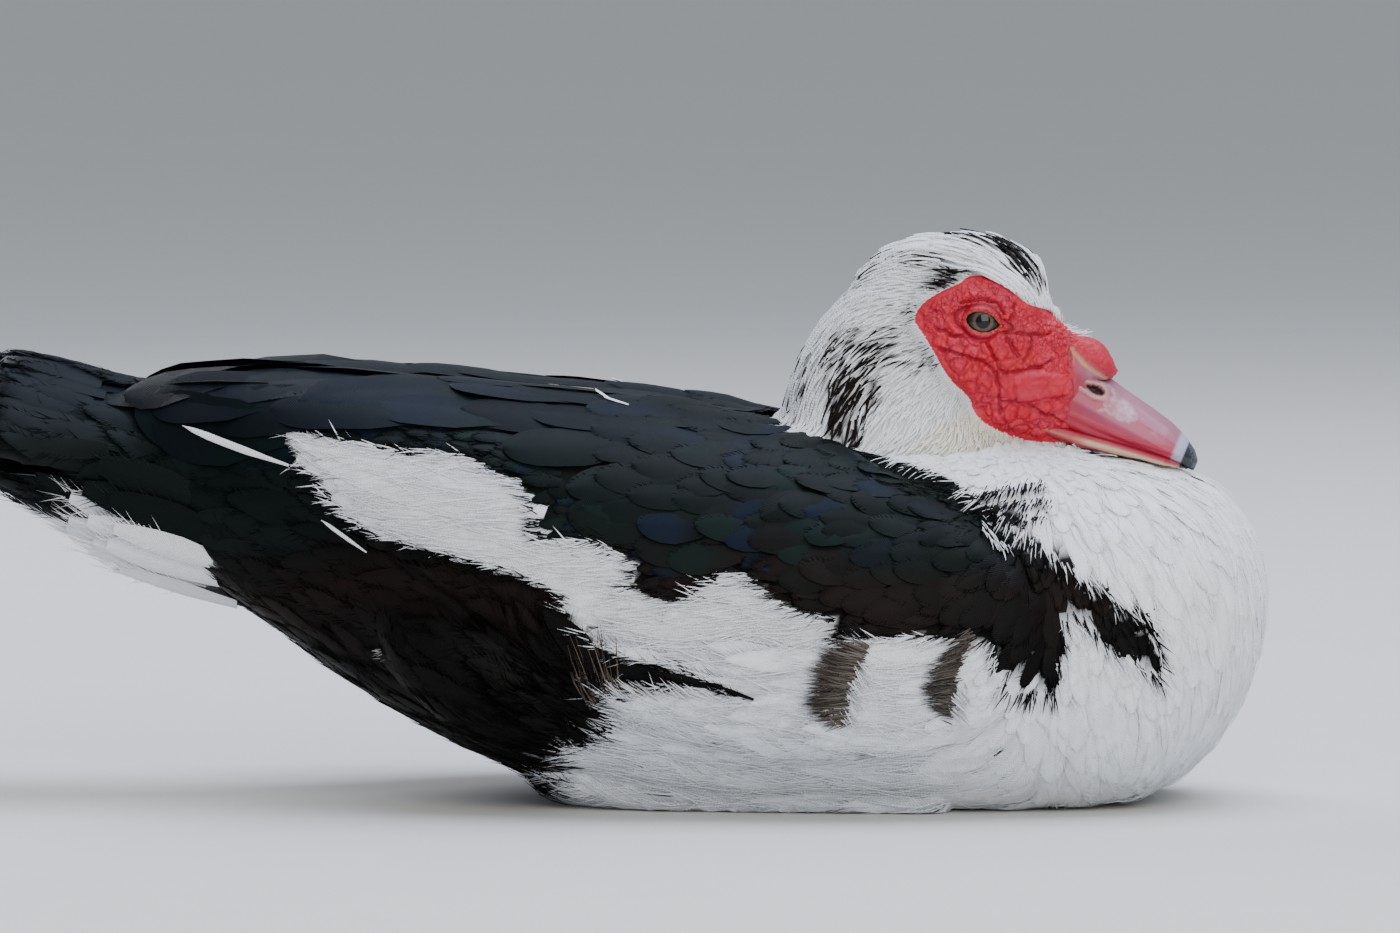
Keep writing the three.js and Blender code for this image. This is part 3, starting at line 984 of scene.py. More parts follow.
@dataclass
class Skin:
    """One skin for the trunk, neck, head, wings and thighs, with the folded face and the eyelids."""

    voxel: float = 3.0
    close: float = 0.5
    coat_depth: dict = field(
        default_factory=lambda: {
            Region.TRUNK: 7.0,
            Region.NECK: 4.5,
            Region.HEAD: 2.6,
            Region.WING: 5.5,
            Region.THIGH: 5.5,
            Region.TAIL: 2.0,
        }
    )
    crack_depth: float = 0.75
    eye_radius: float = 8.0
    opening: tuple[float, float] = (5.9, 3.8)

    NODES = {
        Region.TRUNK: ["trunk"],
        Region.NECK: ["neck"],
        Region.HEAD: ["head", "knob", "eye_left", "eye_right"],
        Region.WING: ["wing_left", "wing_right"],
        Region.THIGH: ["thigh_left", "thigh_right"],
        Region.TAIL: ["tail"],
    }

    def build(self, markings: Markings, finishes: dict) -> None:
        """Builds the skin and keeps the surface that feathers root on.

        Args:
            markings: Colours of the coat.
            finishes: Materials by name.
        """
        nodes = [name for names in self.NODES.values() for name in names]
        feet = [node for name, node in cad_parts.items() if name.startswith(("foot", "claw"))]
        self.feet = [Surface(node.data).tree for node in feet]
        mesh = remeshed(nodes, self.close, self.voxel, "skin")
        relax(mesh, 5, 0.5)
        self.sink(mesh)
        self.lower_culmen(mesh)
        refine(mesh, lambda places: self.bare(places) > -9)
        refine(mesh, lambda places: self.bare(places) > -3)
        self.surface = Surface(mesh)
        self.back = self.smooth_back(mesh)
        refine(mesh, lambda places: self.bare(places) > -1.2)
        crease, rim = self.fold(mesh)
        replaced = [name for name in nodes if not name.startswith("eye")]
        materials = [finishes[kind] for kind in ("under_skin", "face", "bill")]
        self.piece = show(mesh, "skin", "face_skin", materials, *replaced)
        self.colour(mesh, markings, crease, rim)

    @staticmethod
    def smooth_back(mesh: bpy.types.Mesh) -> Surface:
        """Gives the surface that stiff feathers bridge: the skin with the hollows of the back smoothed out.

        Args:
            mesh: The skin's mesh.

        Returns:
            The smoother surface.
        """
        copy = mesh.copy()
        points = points_of(copy)
        relax(copy, 30, 0.0, (1 - step(points[:, 0], 60, 110)) * step(points[:, 2], 66, 90))
        surface = Surface(copy)
        bpy.data.meshes.remove(copy)
        return surface

    def sink(self, mesh: bpy.types.Mesh) -> None:
        """Moves the skin in by the depth of the coat, and notes the region of each place.

        Args:
            mesh: The skin's mesh.
        """
        points = points_of(mesh)
        gaps = np.full((len(Region), len(points)), 1e9)
        for region, names in self.NODES.items():
            for name in names:
                tree = Surface(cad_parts[name].data).tree
                near = np.array([tree.find_nearest(place)[3] for place in points.tolist()])
                gaps[region.value] = np.minimum(gaps[region.value], near)
        labels = gaps.argmin(0)
        depths = np.array([self.coat_depth[region] for region in Region])
        depth = depths[labels]
        # Thin places behind the thighs and under the tail have a thinner coat
        depth *= 0.45 + 0.55 * step(points[:, 0], -205, -150)
        depth = spread(mesh, depth, 6)
        upper = (labels == Region.HEAD.value) | (labels == Region.NECK.value)
        depth *= 1 - step(self.bare(points), -4.5, -0.5) * upper
        depth[self.in_pocket(points)] = 1.0
        depth = spread(mesh, depth, 1)
        set_points(mesh, points - normals_of(mesh) * depth[:, None])
        self.labels = labels
        self.label_tree = BVHTree.FromPolygons(
            points_of(mesh).tolist(), [list(face.vertices) for face in mesh.polygons]
        )
        self.label_faces = [face.vertices[0] for face in mesh.polygons]

    @staticmethod
    def lower_culmen(mesh: bpy.types.Mesh) -> None:
        """Brings the forehead down to its profile in front of the crest, and the front edge in to the bill.

        Args:
            mesh: The skin's mesh.
        """
        points = points_of(mesh)
        x, y, z = points.T
        level = np.interp(x, PROFILE[:, 0], PROFILE[:, 1]) - 0.022 * y * y
        over = np.maximum(z - level, 0) * step(x, 181, 188) * (z > 160)
        points[:, 2] -= over
        along, above = on_head(points)
        end = step(along, 46, 53) * (np.abs(y) < 20) * (above < 6)
        points[:, 1] -= np.sign(y) * 0.9 * end * np.minimum(np.abs(y) / 8, 1)
        set_points(mesh, points)
        relax(mesh, 4, 0.4, step(points[:, 0], 184, 190) * (points[:, 2] > 155))

    @staticmethod
    def in_pocket(places: Points) -> Points:
        """Tells which places lie in the hollows that hold the feet."""
        x, y, z = np.abs(places).T
        return (places[:, 0] > -4) & (x < 150) & (y > 6) & (y < 64) & (z < 17)

    def off_feet(self, places: Points) -> Points:
        """Tells which places are far enough from the feet for a feather.

        Args:
            places: Places on the skin.

        Returns:
            True for each of them.
        """
        clear = np.ones(len(places), bool)
        low = np.flatnonzero(places[:, 2] < 26)
        for tree in self.feet:
            near = [tree.find_nearest(place, 5.0)[0] is not None for place in places[low].tolist()]
            clear[low] &= ~np.array(near, bool)
        return clear

    def region_of(self, places: Points) -> Points:
        """Finds the region of each place.

        Args:
            places: Places near the skin.

        Returns:
            The number of each region.
        """
        found = [self.label_faces[self.label_tree.find_nearest(place)[2]] for place in places.tolist()]
        return self.labels[found]

    @staticmethod
    def bare(places: Points) -> Points:
        """Measures how deep each place lies in the bare face, in millimetres, or below zero outside it."""
        along, above = on_head(places)
        floor = np.interp(along, [-20, 14, 31, 39, 52], [-35, -36, -35, -33, -29])
        return np.minimum(FACE.inside(places), above - floor)

    def fold(self, mesh: bpy.types.Mesh) -> tuple[Points, Points]:
        """Raises the cells, creases, lobes and lids of the face.

        Args:
            mesh: The skin's mesh.

        Returns:
            How deep in a crease each vertex is, as a share of painted shade, and how much it is lid rim.
        """
        points, normals = points_of(mesh), normals_of(mesh)
        bare = step(self.bare(points), -1.0, 1.8) * (1 - step(BILL_ROOT.inside(points), -0.6, 0.6))
        active = bare > 0
        places = points[active]
        flat = seen(places, FACE.lean)
        warp = places + 0.9 * waver(places, 7.0, 3)
        along, above = on_head(places)
        # Small cells round the eye and brow, wide ones below the eye, hardly any on the smooth lobe
        fine = cell_edges(warp, 3.1, 1)
        wide = cell_edges(warp * np.array([1, 1, 1.15]), 5.6, 2)
        lobe = Spot(184, 159.5, 14, 6.5, 3).weight(places)
        brow = np.clip(step(above, -2, 9) + step(-along, 2, 12) * 0.6, 0, 1)
        small = (1 - step(fine, 0.05, 0.32)) * (0.4 + 0.6 * brow)
        large = 1 - step(wide, 0.03, 0.21)
        crack = np.maximum(small * 0.8, large * (1.0 - 0.45 * brow))
        crease = np.zeros(len(places))
        swell = np.zeros(len(places))
        wander = 0.5 * waver(places, 6.0, 8)[:, [0, 2]]
        for line in CREASES:
            gap = line_distance(flat + wander, np.array(line))
            crease = np.maximum(crease, 1 - step(gap, 0.2, 0.9))
            swell = np.maximum(swell, step(gap, 0.4, 1.6) * (1 - step(gap, 1.8, 4.2)))
        # The knob is swollen smooth
        knob = step(places[:, 0], 196, 201) * step(places[:, 2], 160, 166)
        crack *= (1 - 0.8 * lobe) * (1 - 0.75 * knob)
        crease *= 1 - 0.5 * lobe
        puff = 2.1 * lobe
        puff += 1.5 * Spot(170, 146.5, 7, 5, -20).weight(places)
        puff += 1.2 * Spot(160, 160, 9, 7, -40).weight(places)
        puff += (0.55 * step(wide, 0.05, 0.6) + 0.25 * step(fine, 0.05, 0.6) * brow) * (1 - 0.8 * knob)
        move = puff + 0.35 * swell - self.crack_depth * crack - 1.0 * crease
        # Share of painted shade: the deeper the crack or crease, the darker the face material makes it
        depth = np.maximum(0.42 * crack**2, 0.66 * crease**1.5)
        points[active] += normals[active] * (bare[active] * move)[:, None]
        crease_shade = np.zeros(len(points))
        crease_shade[active] = depth * bare[active]
        wrinkle = np.zeros(len(points))
        wrinkle[active] = bare[active] * (0.3 + 0.4 * brow) * (1 - 0.85 * lobe) * (1 - 0.8 * knob)
        set_values(mesh, "wrinkle", wrinkle)
        rim = self.lids(points, crease_shade)
        set_points(mesh, points)
        return crease_shade, rim

    def lids(self, points: Points, crease: Points) -> Points:
        """Shapes the lids round both eyes.

        Args:
            points: The skin's points, changed in place.
            crease: Share of painted crease shade at each point, changed in place.

        Returns:
            How much of each point is the pale rim of a lid.
        """
        rim_all = np.zeros(len(points))
        for side in Side:
            low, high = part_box(f"eye_{side.name.lower()}")
            centre = np.array((low + high) / 2) / MM
            dx, dz = points[:, 0] - centre[0], points[:, 2] - centre[2]
            c, s = math.cos(EYE_PITCH), math.sin(EYE_PITCH)
            along, above = dx * c + dz * s, dz * c - dx * s
            # The opening comes to a point, drawn out in front
            long = self.opening[0] * (1 + 0.16 * step(along, 0, 3))
            pinch = 1 - (0.18 + 0.3 * (along > 0)) * np.clip(np.abs(along) / long, 0, 1) ** 3
            reach = np.hypot(along / long, above / (self.opening[1] * pinch))
            near = (points[:, 1] * side.value > 8) & (reach < 3.2)
            ball = np.sqrt(np.maximum(self.eye_radius**2 - dx**2 - dz**2, 0.0))
            over = centre[1] * side.value + ball
            out = points[:, 1] * side.value
            # Rim and lid hug the eyeball, then run out into the face
            hug = 1 - step(reach, 1.45, 2.3)
            thick = 0.45 + 1.1 * step(reach, 1.0, 1.35) - 0.5 * step(reach, 1.45, 1.75)
            lid = np.maximum(over, centre[1] * side.value + 2.5) + thick
            shaped = out + (lid - out) * hug
            groove = np.exp(-(((reach - 1.72) / 0.13) ** 2))
            shaped -= 0.7 * groove * (reach > 1)
            inner = over - 1.2 - 3.0 * (1 - step(reach, 0.7, 1.0))
            shaped = np.where(reach < 1, inner, shaped)
            points[near, 1] = (shaped * side.value)[near]
            rim = 0.8 * step(reach, 0.94, 1.02) * (1 - step(reach, 1.06, 1.2))
            rim_all[near] = np.maximum(rim_all[near], rim[near])
            # The lid itself gets no painted crease shade; the groove round it gets painted shade
            crease[near] = np.where(reach < 1.5, 0.0, crease)[near]
            crease[near] = np.maximum(crease, 0.8 * groove)[near]
        return rim_all

    def colour(self, mesh: bpy.types.Mesh, markings: Markings, crease: Points, rim: Points) -> None:
        """Colours the skin like the coat over it, and the face red.

        Args:
            mesh: The skin's mesh.
            markings: Colours of the coat.
            crease: Share of painted crease shade at each point.
            rim: Share of pale lid rim at each point.
        """
        points = points_of(mesh)
        white = markings.is_white(points)[:, None]
        tint = np.where(white, markings.white_tint(points), markings.dark_tint(points))
        red, pink, orange = (to_linear(c) for c in ("#c6132d", "#cd2744", "#d31e2b"))
        drift = waver(points, 18.0, 21)
        face = red + (pink - red) * step(drift[:, 0], -0.5, 0.9)[:, None]
        face = face + (orange - face) * (0.7 * step(drift[:, 1], 0.0, 0.9))[:, None]
        swollen = (Spot(207, 170, 13, 9, -25), Spot(184, 159.5, 14, 6.5, 3))
        full = np.maximum(swollen[0].weight(points), 0.7 * swollen[1].weight(points))
        face = face + (to_linear("#ad0f2c") - face) * 0.8 * full[:, None]
        tan = to_linear("#8f5d3c")
        face = face + (tan - face) * rim[:, None]
        horn = step(BILL_ROOT.inside(points), -3.0, 0.8)[:, None]
        face = face + (Bill.tint(points) - face) * horn
        fold = step(-line_distance(points[:, [0, 2]], np.array(KNOB_FOLD)), -1.3, -0.3)[:, None]
        face = face + (to_linear("#c08a5c") - face) * 0.8 * fold
        bare = self.bare(points) > -1.0
        set_values(mesh, "coat", np.where(bare[:, None], face, tint))
        # Painted shade of the cracks, creases and lid grooves, which the face material darkens by
        set_values(mesh, "crease", crease)
        centres = np.empty(len(mesh.polygons) * 3)
        mesh.polygons.foreach_get("center", centres)
        centres = centres.reshape(-1, 3) / MM
        index = (self.bare(centres) > -1.0).astype(np.int32)
        horn = BILL_ROOT.inside(centres) > 0
        index[(index == 1) & horn] = 2
        mesh.polygons.foreach_set("material_index", index)
        mesh.polygons.foreach_set("use_smooth", np.ones(len(index), bool))


# Feathers


def unwrap(places: Points) -> Points:
    """Lays the body's own shape out flat: the trunk unrolled round its axis, the head and neck above it.

    Args:
        places: Places as x, y, z.

    Returns:
        Places between 0 and 1, as u and v.
    """
    x, y, z = places.T
    turn = np.arctan2(y, z - axis_level(x)) / math.tau + 0.5
    trunk = np.stack([0.02 + 0.96 * (x + 290) / 580, 0.02 + 0.58 * turn], 1)
    along, above = on_head(places)
    neck_turn = np.arctan2(y, x - 140 + 0.4 * (z - 150)) / math.tau + 0.5
    upper = np.stack([0.02 + 0.96 * neck_turn, 0.64 + 0.34 * np.clip((z - 90) / 135, 0, 1)], 1)
    is_upper = (z > 150) & (x > 78)
    return np.where(is_upper[:, None], upper, trunk)


def axis_level(x: Points) -> Points:
    """Gives the level of the trunk's axis."""
    return 74 + 56 * step(-x, -20, 200)


@dataclass(frozen=True)
class Vane:
    """The shape of one kind of feather, as a thin closed blade with loose barbs at its end."""

    length: float
    width: float
    low: float = 0.4
    high: float = 6.0
    thick: float = 0.5
    camber: float = 0.12
    taper: float = 0.4
    blunt: float = 0.5
    stem: float = 0.4
    stations: tuple[float, ...] = (0.0, 0.3, 0.55, 0.75, 0.88, 0.96, 1.0)
    across: int = 3
    barbs: int = 0
    barb_length: float = 3.5
    barb_width: float = 0.8
    barb_from: float = 0.55
    turn: float = 7.0
    unruly: float = 0.35
    dip: float = 0.8

    RINGS = {
        1: [(-1.0, 0.0), (0.0, 1.0), (1.0, 0.0)],
        3: [(-1.0, 0.0), (0.0, 0.5), (1.0, 0.0), (0.0, -0.5)],
        5: [(-1.0, 0.0), (-0.5, 0.4), (0.0, 0.5), (0.5, 0.4), (1.0, 0.0), (0.0, -0.5)],
    }

    def half(self, along: Points) -> Points:
        """Gives the half width at each share of the length, for a feather of width 1."""
        opening = self.stem + (1 - self.stem) * step(along, 0.0, 0.45)
        end = np.clip((along - (1 - self.taper)) / self.taper, 0, 1)
        return 0.5 * opening * np.maximum(1 - end**2, 0.004) ** self.blunt

    def faces(self) -> Points:
        """Gives the faces of one blade, from its rings."""
        ring = len(self.RINGS[self.across])
        found = []
        for k in range(len(self.stations) - 1):
            for j in range(ring):
                here, after = k * ring + j, k * ring + (j + 1) % ring
                found.append([here, here + ring, after + ring, after])
        last = (len(self.stations) - 1) * ring
        for j in range(1, ring - 1):
            found.append([0, j, j + 1, -1])
            found.append([last, last + j + 1, last + j, -1])
        return np.array(found)


class Pile:
    """Gathers closed feathers of many kinds into one mesh."""

    def __init__(self) -> None:
        """Starts empty."""
        self.points: list[Points] = []
        self.faces: list[Points] = []
        self.tints: list[Points] = []
        self.bake: list[Points] = []
        self.lie: list[Points] = []
        self.kinds: list[Points] = []
        self.rims: list[Points] = []
        self.total = 0

    def add(
        self,
        points: Points,
        faces: Points,
        rim: Points,
        tints: Points,
        roots: Points,
        lie: Points,
        kinds: Points,
    ) -> None:
        """Adds many bodies of one kind.

        Args:
            points: Corners of each body.
            faces: Corner numbers of one body's faces; -1 marks a triangle's last.
            rim: True for the corners on a body's thin edge.
            tints: Colour of each corner.
            roots: Root of each body on the skin.
            lie: Distance across and along the feather at each corner.
            kinds: Material number of each body.
        """
        count, corners = points.shape[:2]
        offset = self.total + corners * np.arange(count)[:, None, None]
        self.faces.append(np.where(faces < 0, -1, faces[None] + offset).reshape(-1, faces.shape[1]))
        self.points.append(points.reshape(-1, 3))
        self.tints.append(np.broadcast_to(tints, points.shape).reshape(-1, 3))
        spread_out = np.ptp(lie, axis=1, keepdims=True) + 1e-6
        patch = (lie - lie.min(1, keepdims=True)) / spread_out - 0.5
        self.bake.append((unwrap(roots)[:, None] + 0.003 * patch).reshape(-1, 2))
        self.lie.append(lie.reshape(-1, 2))
        self.kinds.append(np.repeat(kinds, len(faces)))
        self.rims.append(np.tile(rim, count))
        self.total += count * corners

    def build(self, name: str, slot: str, materials: list) -> None:
        """Makes the piece.

        Args:
            name: The piece's name.
            slot: The record's slot.
            materials: Materials by number.
        """
        points = np.vstack(self.points)
        points[:, 2] = np.maximum(points[:, 2], 0.3)
        mesh = mesh_from(points, np.vstack(self.faces), name)
        corner = np.empty(len(mesh.loops), np.int32)
        mesh.loops.foreach_get("vertex_index", corner)
        for layer, places in (("OFBake", self.bake), ("lie", self.lie)):
            uv = mesh.uv_layers.new(name=layer)
            uv.uv.foreach_set("vector", np.vstack(places)[corner].astype(np.float32).ravel())
        set_values(mesh, "coat", np.vstack(self.tints))
        ends = np.empty(len(mesh.edges) * 2, np.int32)
        mesh.edges.foreach_get("vertices", ends)
        # The thin edge of a vane is crisp, so that its flat side doesn't look round
        sharp = np.concatenate(self.rims)[ends].reshape(-1, 2).all(1)
        mesh.attributes.new("sharp_edge", "BOOLEAN", "EDGE").data.foreach_set("value", sharp)
        show(mesh, name, slot, materials)
        mesh.polygons.foreach_set("material_index", np.concatenate(self.kinds).astype(np.int32))


def between_ends(paths: Points, shares: tuple) -> tuple[Points, Points]:
    """Places points along straight lines given by two numbers at each end.

    Args:
        paths: Two numbers of each line's root, then of its tip.
        shares: Shares of the length where the line has a point.

    Returns:
        The first and the second number at each point.
    """
    t = np.array(shares)[None, :, None]
    path = paths[:, None, :2] * (1 - t) + paths[:, None, 2:] * t
    return path[..., 0], path[..., 1]


@dataclass
class Lines:
    """Centre lines of feathers laid over the skin."""

    places: Points
    ups: Points
    ways: Points


@dataclass
class Batch:
    """Feathers of one kind, laid and coloured, ready to be formed; base is the colour of their roots."""

    vane: Vane
    lines: Lines
    lengths: Points
    widths: Points
    tints: Points
    kinds: Points
    lift: Points | float = 0.0
    base: Points | None = None


class Comb:
    """Lays feathers over a surface along the coat's flow and grows them into piles."""

    def __init__(self, bed: Surface, skin: Skin) -> None:
        """Keeps the surface that feathers lie on, and the skin that knows where the feet are."""
        self.bed = bed
        self.skin = skin
        self.rng = np.random.default_rng(SEED + 1)

    @staticmethod
    def flow(places: Points) -> Points:
        """Gives the way that the coat lies at each place.

        Args:
            places: Places as x, y, z.

        Returns:
            Directions, not yet flat on the skin.
        """
        x, y, z = places.T
        zero = np.zeros_like(x)
        # Trunk: rearward, rising a little behind and under the tail
        rise = 0.16 * step(-x, -40, 90) - 0.1 * step(x, 20, 120)
        low = 1 - step(z, 30, 75)
        rise = rise + low * (0.28 - 0.1 * step(x, 100, 180))
        trunk = np.stack([-np.ones_like(x), zero, rise], 1)
        # Breast: away from the root of the neck
        away = unit(places - np.array([168.0, 0.0, 150.0]))
        front = step(x, 130, 205)[:, None]
        body = unit(trunk * (1 - front) + away * front * 1.2)
        # Thigh: a fan from the knee
        fan = np.stack([x - KNEE[0] - 26, 0.25 * y, z - KNEE[1] + 12], 1)
        thigh = (step(-x, -30, 10) * (1 - step(-x, 70, 110)) * (1 - step(z, 74, 90)))[:, None]
        body = unit(body * (1 - thigh) + unit(fan) * thigh)
        # Neck and head: away from the face, turning down towards the nape
        dx, dz = x - 185, z - 178
        turn = np.radians(18 + 54 * step(np.hypot(dx, dz), 40, 105))
        c, s = np.cos(turn), np.sin(turn)
        neck = unit(np.stack([dx * c - dz * s, zero, dx * s + dz * c], 1))
        upper = (step(z, 118, 150) * step(x, 70, 92))[:, None]
        return unit(body * (1 - upper) + neck * upper)

    def roots(self, spacing: Callable[[Points], Points], seed: int) -> Points:
        """Scatters roots evenly over part of the skin.

        Args:
            spacing: Gives the distance between roots at each place, or 0 for none.
            seed: Picks another set.

        Returns:
            The roots.
        """
        rng = np.random.default_rng(seed)
        corners = self.bed.points[self.bed.faces]
        gap = spacing(corners.mean(1))
        edges = corners[:, 1:] - corners[:, :1]
        area = np.linalg.norm(np.cross(edges[:, 0], edges[:, 1]), axis=1) / 2
        share = np.where(gap > 0, area / np.maximum(gap, 0.1) ** 2, 0.0)
        picked = rng.choice(len(share), int(share.sum() * 7), p=share / share.sum())
        a, b = rng.random((2, len(picked), 1))
        flip = a + b > 1
        a, b = np.where(flip, 1 - a, a), np.where(flip, 1 - b, b)
        places = corners[picked, 0] + a * edges[picked, 0] + b * edges[picked, 1]
        tree = KDTree(len(places))
        for i, place in enumerate(places.tolist()):
            tree.insert(place, i)
        tree.balance()
        free = np.ones(len(places), bool)
        kept = []
        for i, (place, radius) in enumerate(zip(places.tolist(), (gap[picked] * 0.86).tolist())):
            if free[i]:
                kept.append(i)
                free[[other for _, other, _ in tree.find_range(place, radius)]] = False
        return places[kept]

    def lattice(self, rows: list[tuple[float, float, float]], low: float) -> Points:
        """Places roots in staggered rows over the wings and back, on both sides.

        Args:
            rows: x, distance to the next row and distance between roots in it, at a few places.
            low: Lowest angle above the level at the axis, in degrees.

        Returns:
            The roots.
        """
        table = np.array(rows[::-1])
        x = rows[0][0]
        found = []
        odd = False
        while x > rows[-1][0]:
            ahead, apart = (np.interp(x, table[:, 0], table[:, k]) for k in (1, 2))
            axis = Vector((x, 0, float(axis_level(np.array(x)))))
            for side in Side:
                angle = math.pi / 2 - (0.25 if odd else 0.02)
                while angle > math.radians(low):
                    way = Vector((0, math.cos(angle) * side.value, math.sin(angle)))
                    hit = self.bed.tree.ray_cast(axis, way)[0]
                    if hit is None:
                        break
                    slip = self.rng.normal(0, 0.08, 2) * (ahead, apart)
                    found.append((hit.x + slip[0], hit.y, hit.z + slip[1]))
                    angle -= apart / max((hit - axis).length, 20)
            odd = not odd
            x -= ahead
        return self.bed.settle(np.array(found))[0]

    def lay(self, roots: Points, turn: Points, lengths: Points, shares: tuple, flow: Callable) -> Lines:
        """Lays a centre line over the skin from each root.

        Args:
            roots: Roots on the skin.
            turn: How far each feather turns from the flow, in radians.
            lengths: Length of each feather.
            shares: Shares of the length where the line has a point.
            flow: Gives the direction at each place.

        Returns:
            The centre lines.
        """
        place, normal, _ = self.bed.settle(roots)
        c, s = np.cos(turn)[:, None], np.sin(turn)[:, None]
        rows = []
        for k, share in enumerate(shares):
            way = flow(place)
            way = unit(way - (way * normal).sum(1, keepdims=True) * normal)
            way = way * c + np.cross(normal, way) * s
            rows.append((place, normal, way))
            if k + 1 < len(shares):
                ahead = (shares[k + 1] - share) * lengths[:, None]
                place, normal, _ = self.bed.settle(place + way * ahead)
        return Lines(*(np.stack(row, 1) for row in zip(*rows)))

    def cast(self, origins: Points, ways: Points) -> Points:
        """Finds where rays from outside first meet the bed, or the nearest place for one that misses.

        Args:
            origins: Where the rays start.
            ways: Their directions.

        Returns:
            The places met.
        """
        found = []
        for origin, way in zip(origins.reshape(-1, 3).tolist(), ways.reshape(-1, 3).tolist()):
            hit = self.bed.tree.ray_cast(Vector(origin), Vector(way))[0]
            if hit is None:
                hit = self.bed.tree.find_nearest(Vector(origin) + 160 * Vector(way))[0]
            found.append(tuple(hit))
        return np.array(found).reshape(origins.shape)

    def trace(self, places: Points) -> Lines:
        """Makes centre lines of places on the bed, bridging its small hollows.

        Args:
            places: The places of each line, in order.

        Returns:
            The centre lines.
        """
        ups = self.bed.settle(places.reshape(-1, 3))[1].reshape(places.shape)
        for _ in range(3):
            places = places.copy()
            for values in (places, ups):
                values[:, 1:-1] = 0.5 * values[:, 1:-1] + 0.25 * (values[:, 2:] + values[:, :-2])
        ways = unit(np.gradient(places, axis=1))
        return Lines(places, unit(ups - (ups * ways).sum(-1, keepdims=True) * ways), ways)

    def sweep(self, paths: Points, shares: tuple, side: Side) -> Lines:
        """Lays lines whose ends are given as x and the angle above the level round the trunk's axis.

        Args:
            paths: x and degrees of each line's root, then of its tip.
            shares: Shares of the length where the line has a point.
            side: The bird's side.

        Returns:
            The centre lines.
        """
        x, turn = between_ends(paths, shares)
        angle = np.radians(turn)
        out = np.stack([np.zeros_like(angle), np.cos(angle) * side.value, np.sin(angle)], -1)
        axis = np.stack([x, np.zeros_like(angle), axis_level(x)], -1)
        return self.trace(self.cast(axis + 160 * out, -out))

    def draw(self, paths: Points, shares: tuple, side: Side) -> Lines:
        """Lays lines whose ends are given as x and z in the side view.

        Args:
            paths: x and z of each line's root, then of its tip.
            shares: Shares of the length where the line has a point.
            side: The bird's side.

        Returns:
            The centre lines.
        """
        return self.trace(self.meet(np.stack(between_ends(paths, shares), -1), side))

    def meet(self, flat: Points, side: Side) -> Points:
        """Finds the places of the bed that show at given places of the side view.

        Args:
            flat: x and z in the side view.
            side: The bird's side.

        Returns:
            The places.
        """
        way = unit(np.array([LEAN[0], side.value, LEAN[1]]))
        origins = np.stack([flat[..., 0], np.zeros(flat.shape[:-1]), flat[..., 1]], -1) + 200 * way
        return self.cast(origins, np.broadcast_to(-way, origins.shape))

    def grow(
        self,
        pile: Pile,
        vane: Vane,
        roots: Points,
        tint_of: Callable[[Points], tuple[Points, Points]],
        size: Callable[[Points], Points] | None = None,
        keep: Callable[[Points], Points] | None = None,
        flow: Callable | None = None,
        lift: float = 0.0,
    ) -> None:
        """Grows feathers of one kind from their roots.

        Args:
            pile: Where they go.
            vane: Their shape.
            roots: Their roots.
            tint_of: Gives each one's colour and material number from its visible middle.
            size: Gives each one's size as a multiple.
            keep: Tells from the visible places of each which ones are kept.
            flow: Another flow than the coat's.
            lift: Height added.
        """
        count = len(roots)
        if not count:
            return
        scale = np.ones(count) if size is None else size(roots)
        lengths = vane.length * scale * self.rng.uniform(0.88, 1.1, count)
        widths = vane.width * scale * self.rng.uniform(0.9, 1.1, count)
        turn = np.radians(self.rng.normal(0, vane.turn, count))
        lines = self.lay(roots, turn, lengths, vane.stations, flow or self.flow)
        middle = lines.places[:, int(len(vane.stations) * 0.62)]
        held = self.skin.off_feet(lines.places[:, ::2].reshape(-1, 3)).reshape(count, -1).all(1)
        if keep is not None:
            shares = np.array(vane.stations)
            half = widths[:, None] * vane.half(shares) * (shares > 0.3)
            sides = np.cross(lines.ups, lines.ways) * half[..., None]
            shown = np.concatenate([lines.places, lines.places + sides, lines.places - sides], 1)
            held &= keep(shown[:, np.tile(shares > 0.3, 3)])
        lines = Lines(lines.places[held], lines.ups[held], lines.ways[held])
        tints, kinds = tint_of(middle[held])
        base = tint_of(roots[held])[0]
        self.form(pile, Batch(vane, lines, lengths[held], widths[held], tints, kinds, lift, base))

    def form(self, pile: Pile, batch: Batch) -> None:
        """Forms blades and barbs along centre lines.

        Args:
            pile: Where they go.
            batch: The feathers.
        """
        count = len(batch.lengths)
        if not count:
            return
        vane, lines = batch.vane, batch.lines
        shares = np.array(vane.stations)
        half = batch.widths[:, None] * vane.half(shares)
        sides = np.cross(lines.ups, lines.ways)
        loft = self.rng.normal(0, vane.unruly, (count, 1))
        height = vane.low + (vane.high - vane.low) * shares**0.85 - vane.dip * step(shares, 0.75, 1.0)
        height = np.maximum(height + loft * (0.3 + shares), 0.15) + np.reshape(batch.lift, (-1, 1))
        tilt = self.rng.normal(0, 0.05, (count, 1))
        centre = lines.places + lines.ups * height[..., None]
        rings = []
        lie = []
        for out, rise in vane.RINGS[vane.across]:
            drop = vane.camber * half * out * out - tilt * half * out
            level = lines.ups * (vane.thick * rise - drop)[..., None]
            rings.append(centre + sides * (half * out)[..., None] + level)
            lie.append(np.stack([half * out, shares * batch.lengths[:, None]], 2))
        across = np.array([abs(out) for out, _ in vane.RINGS[vane.across]])
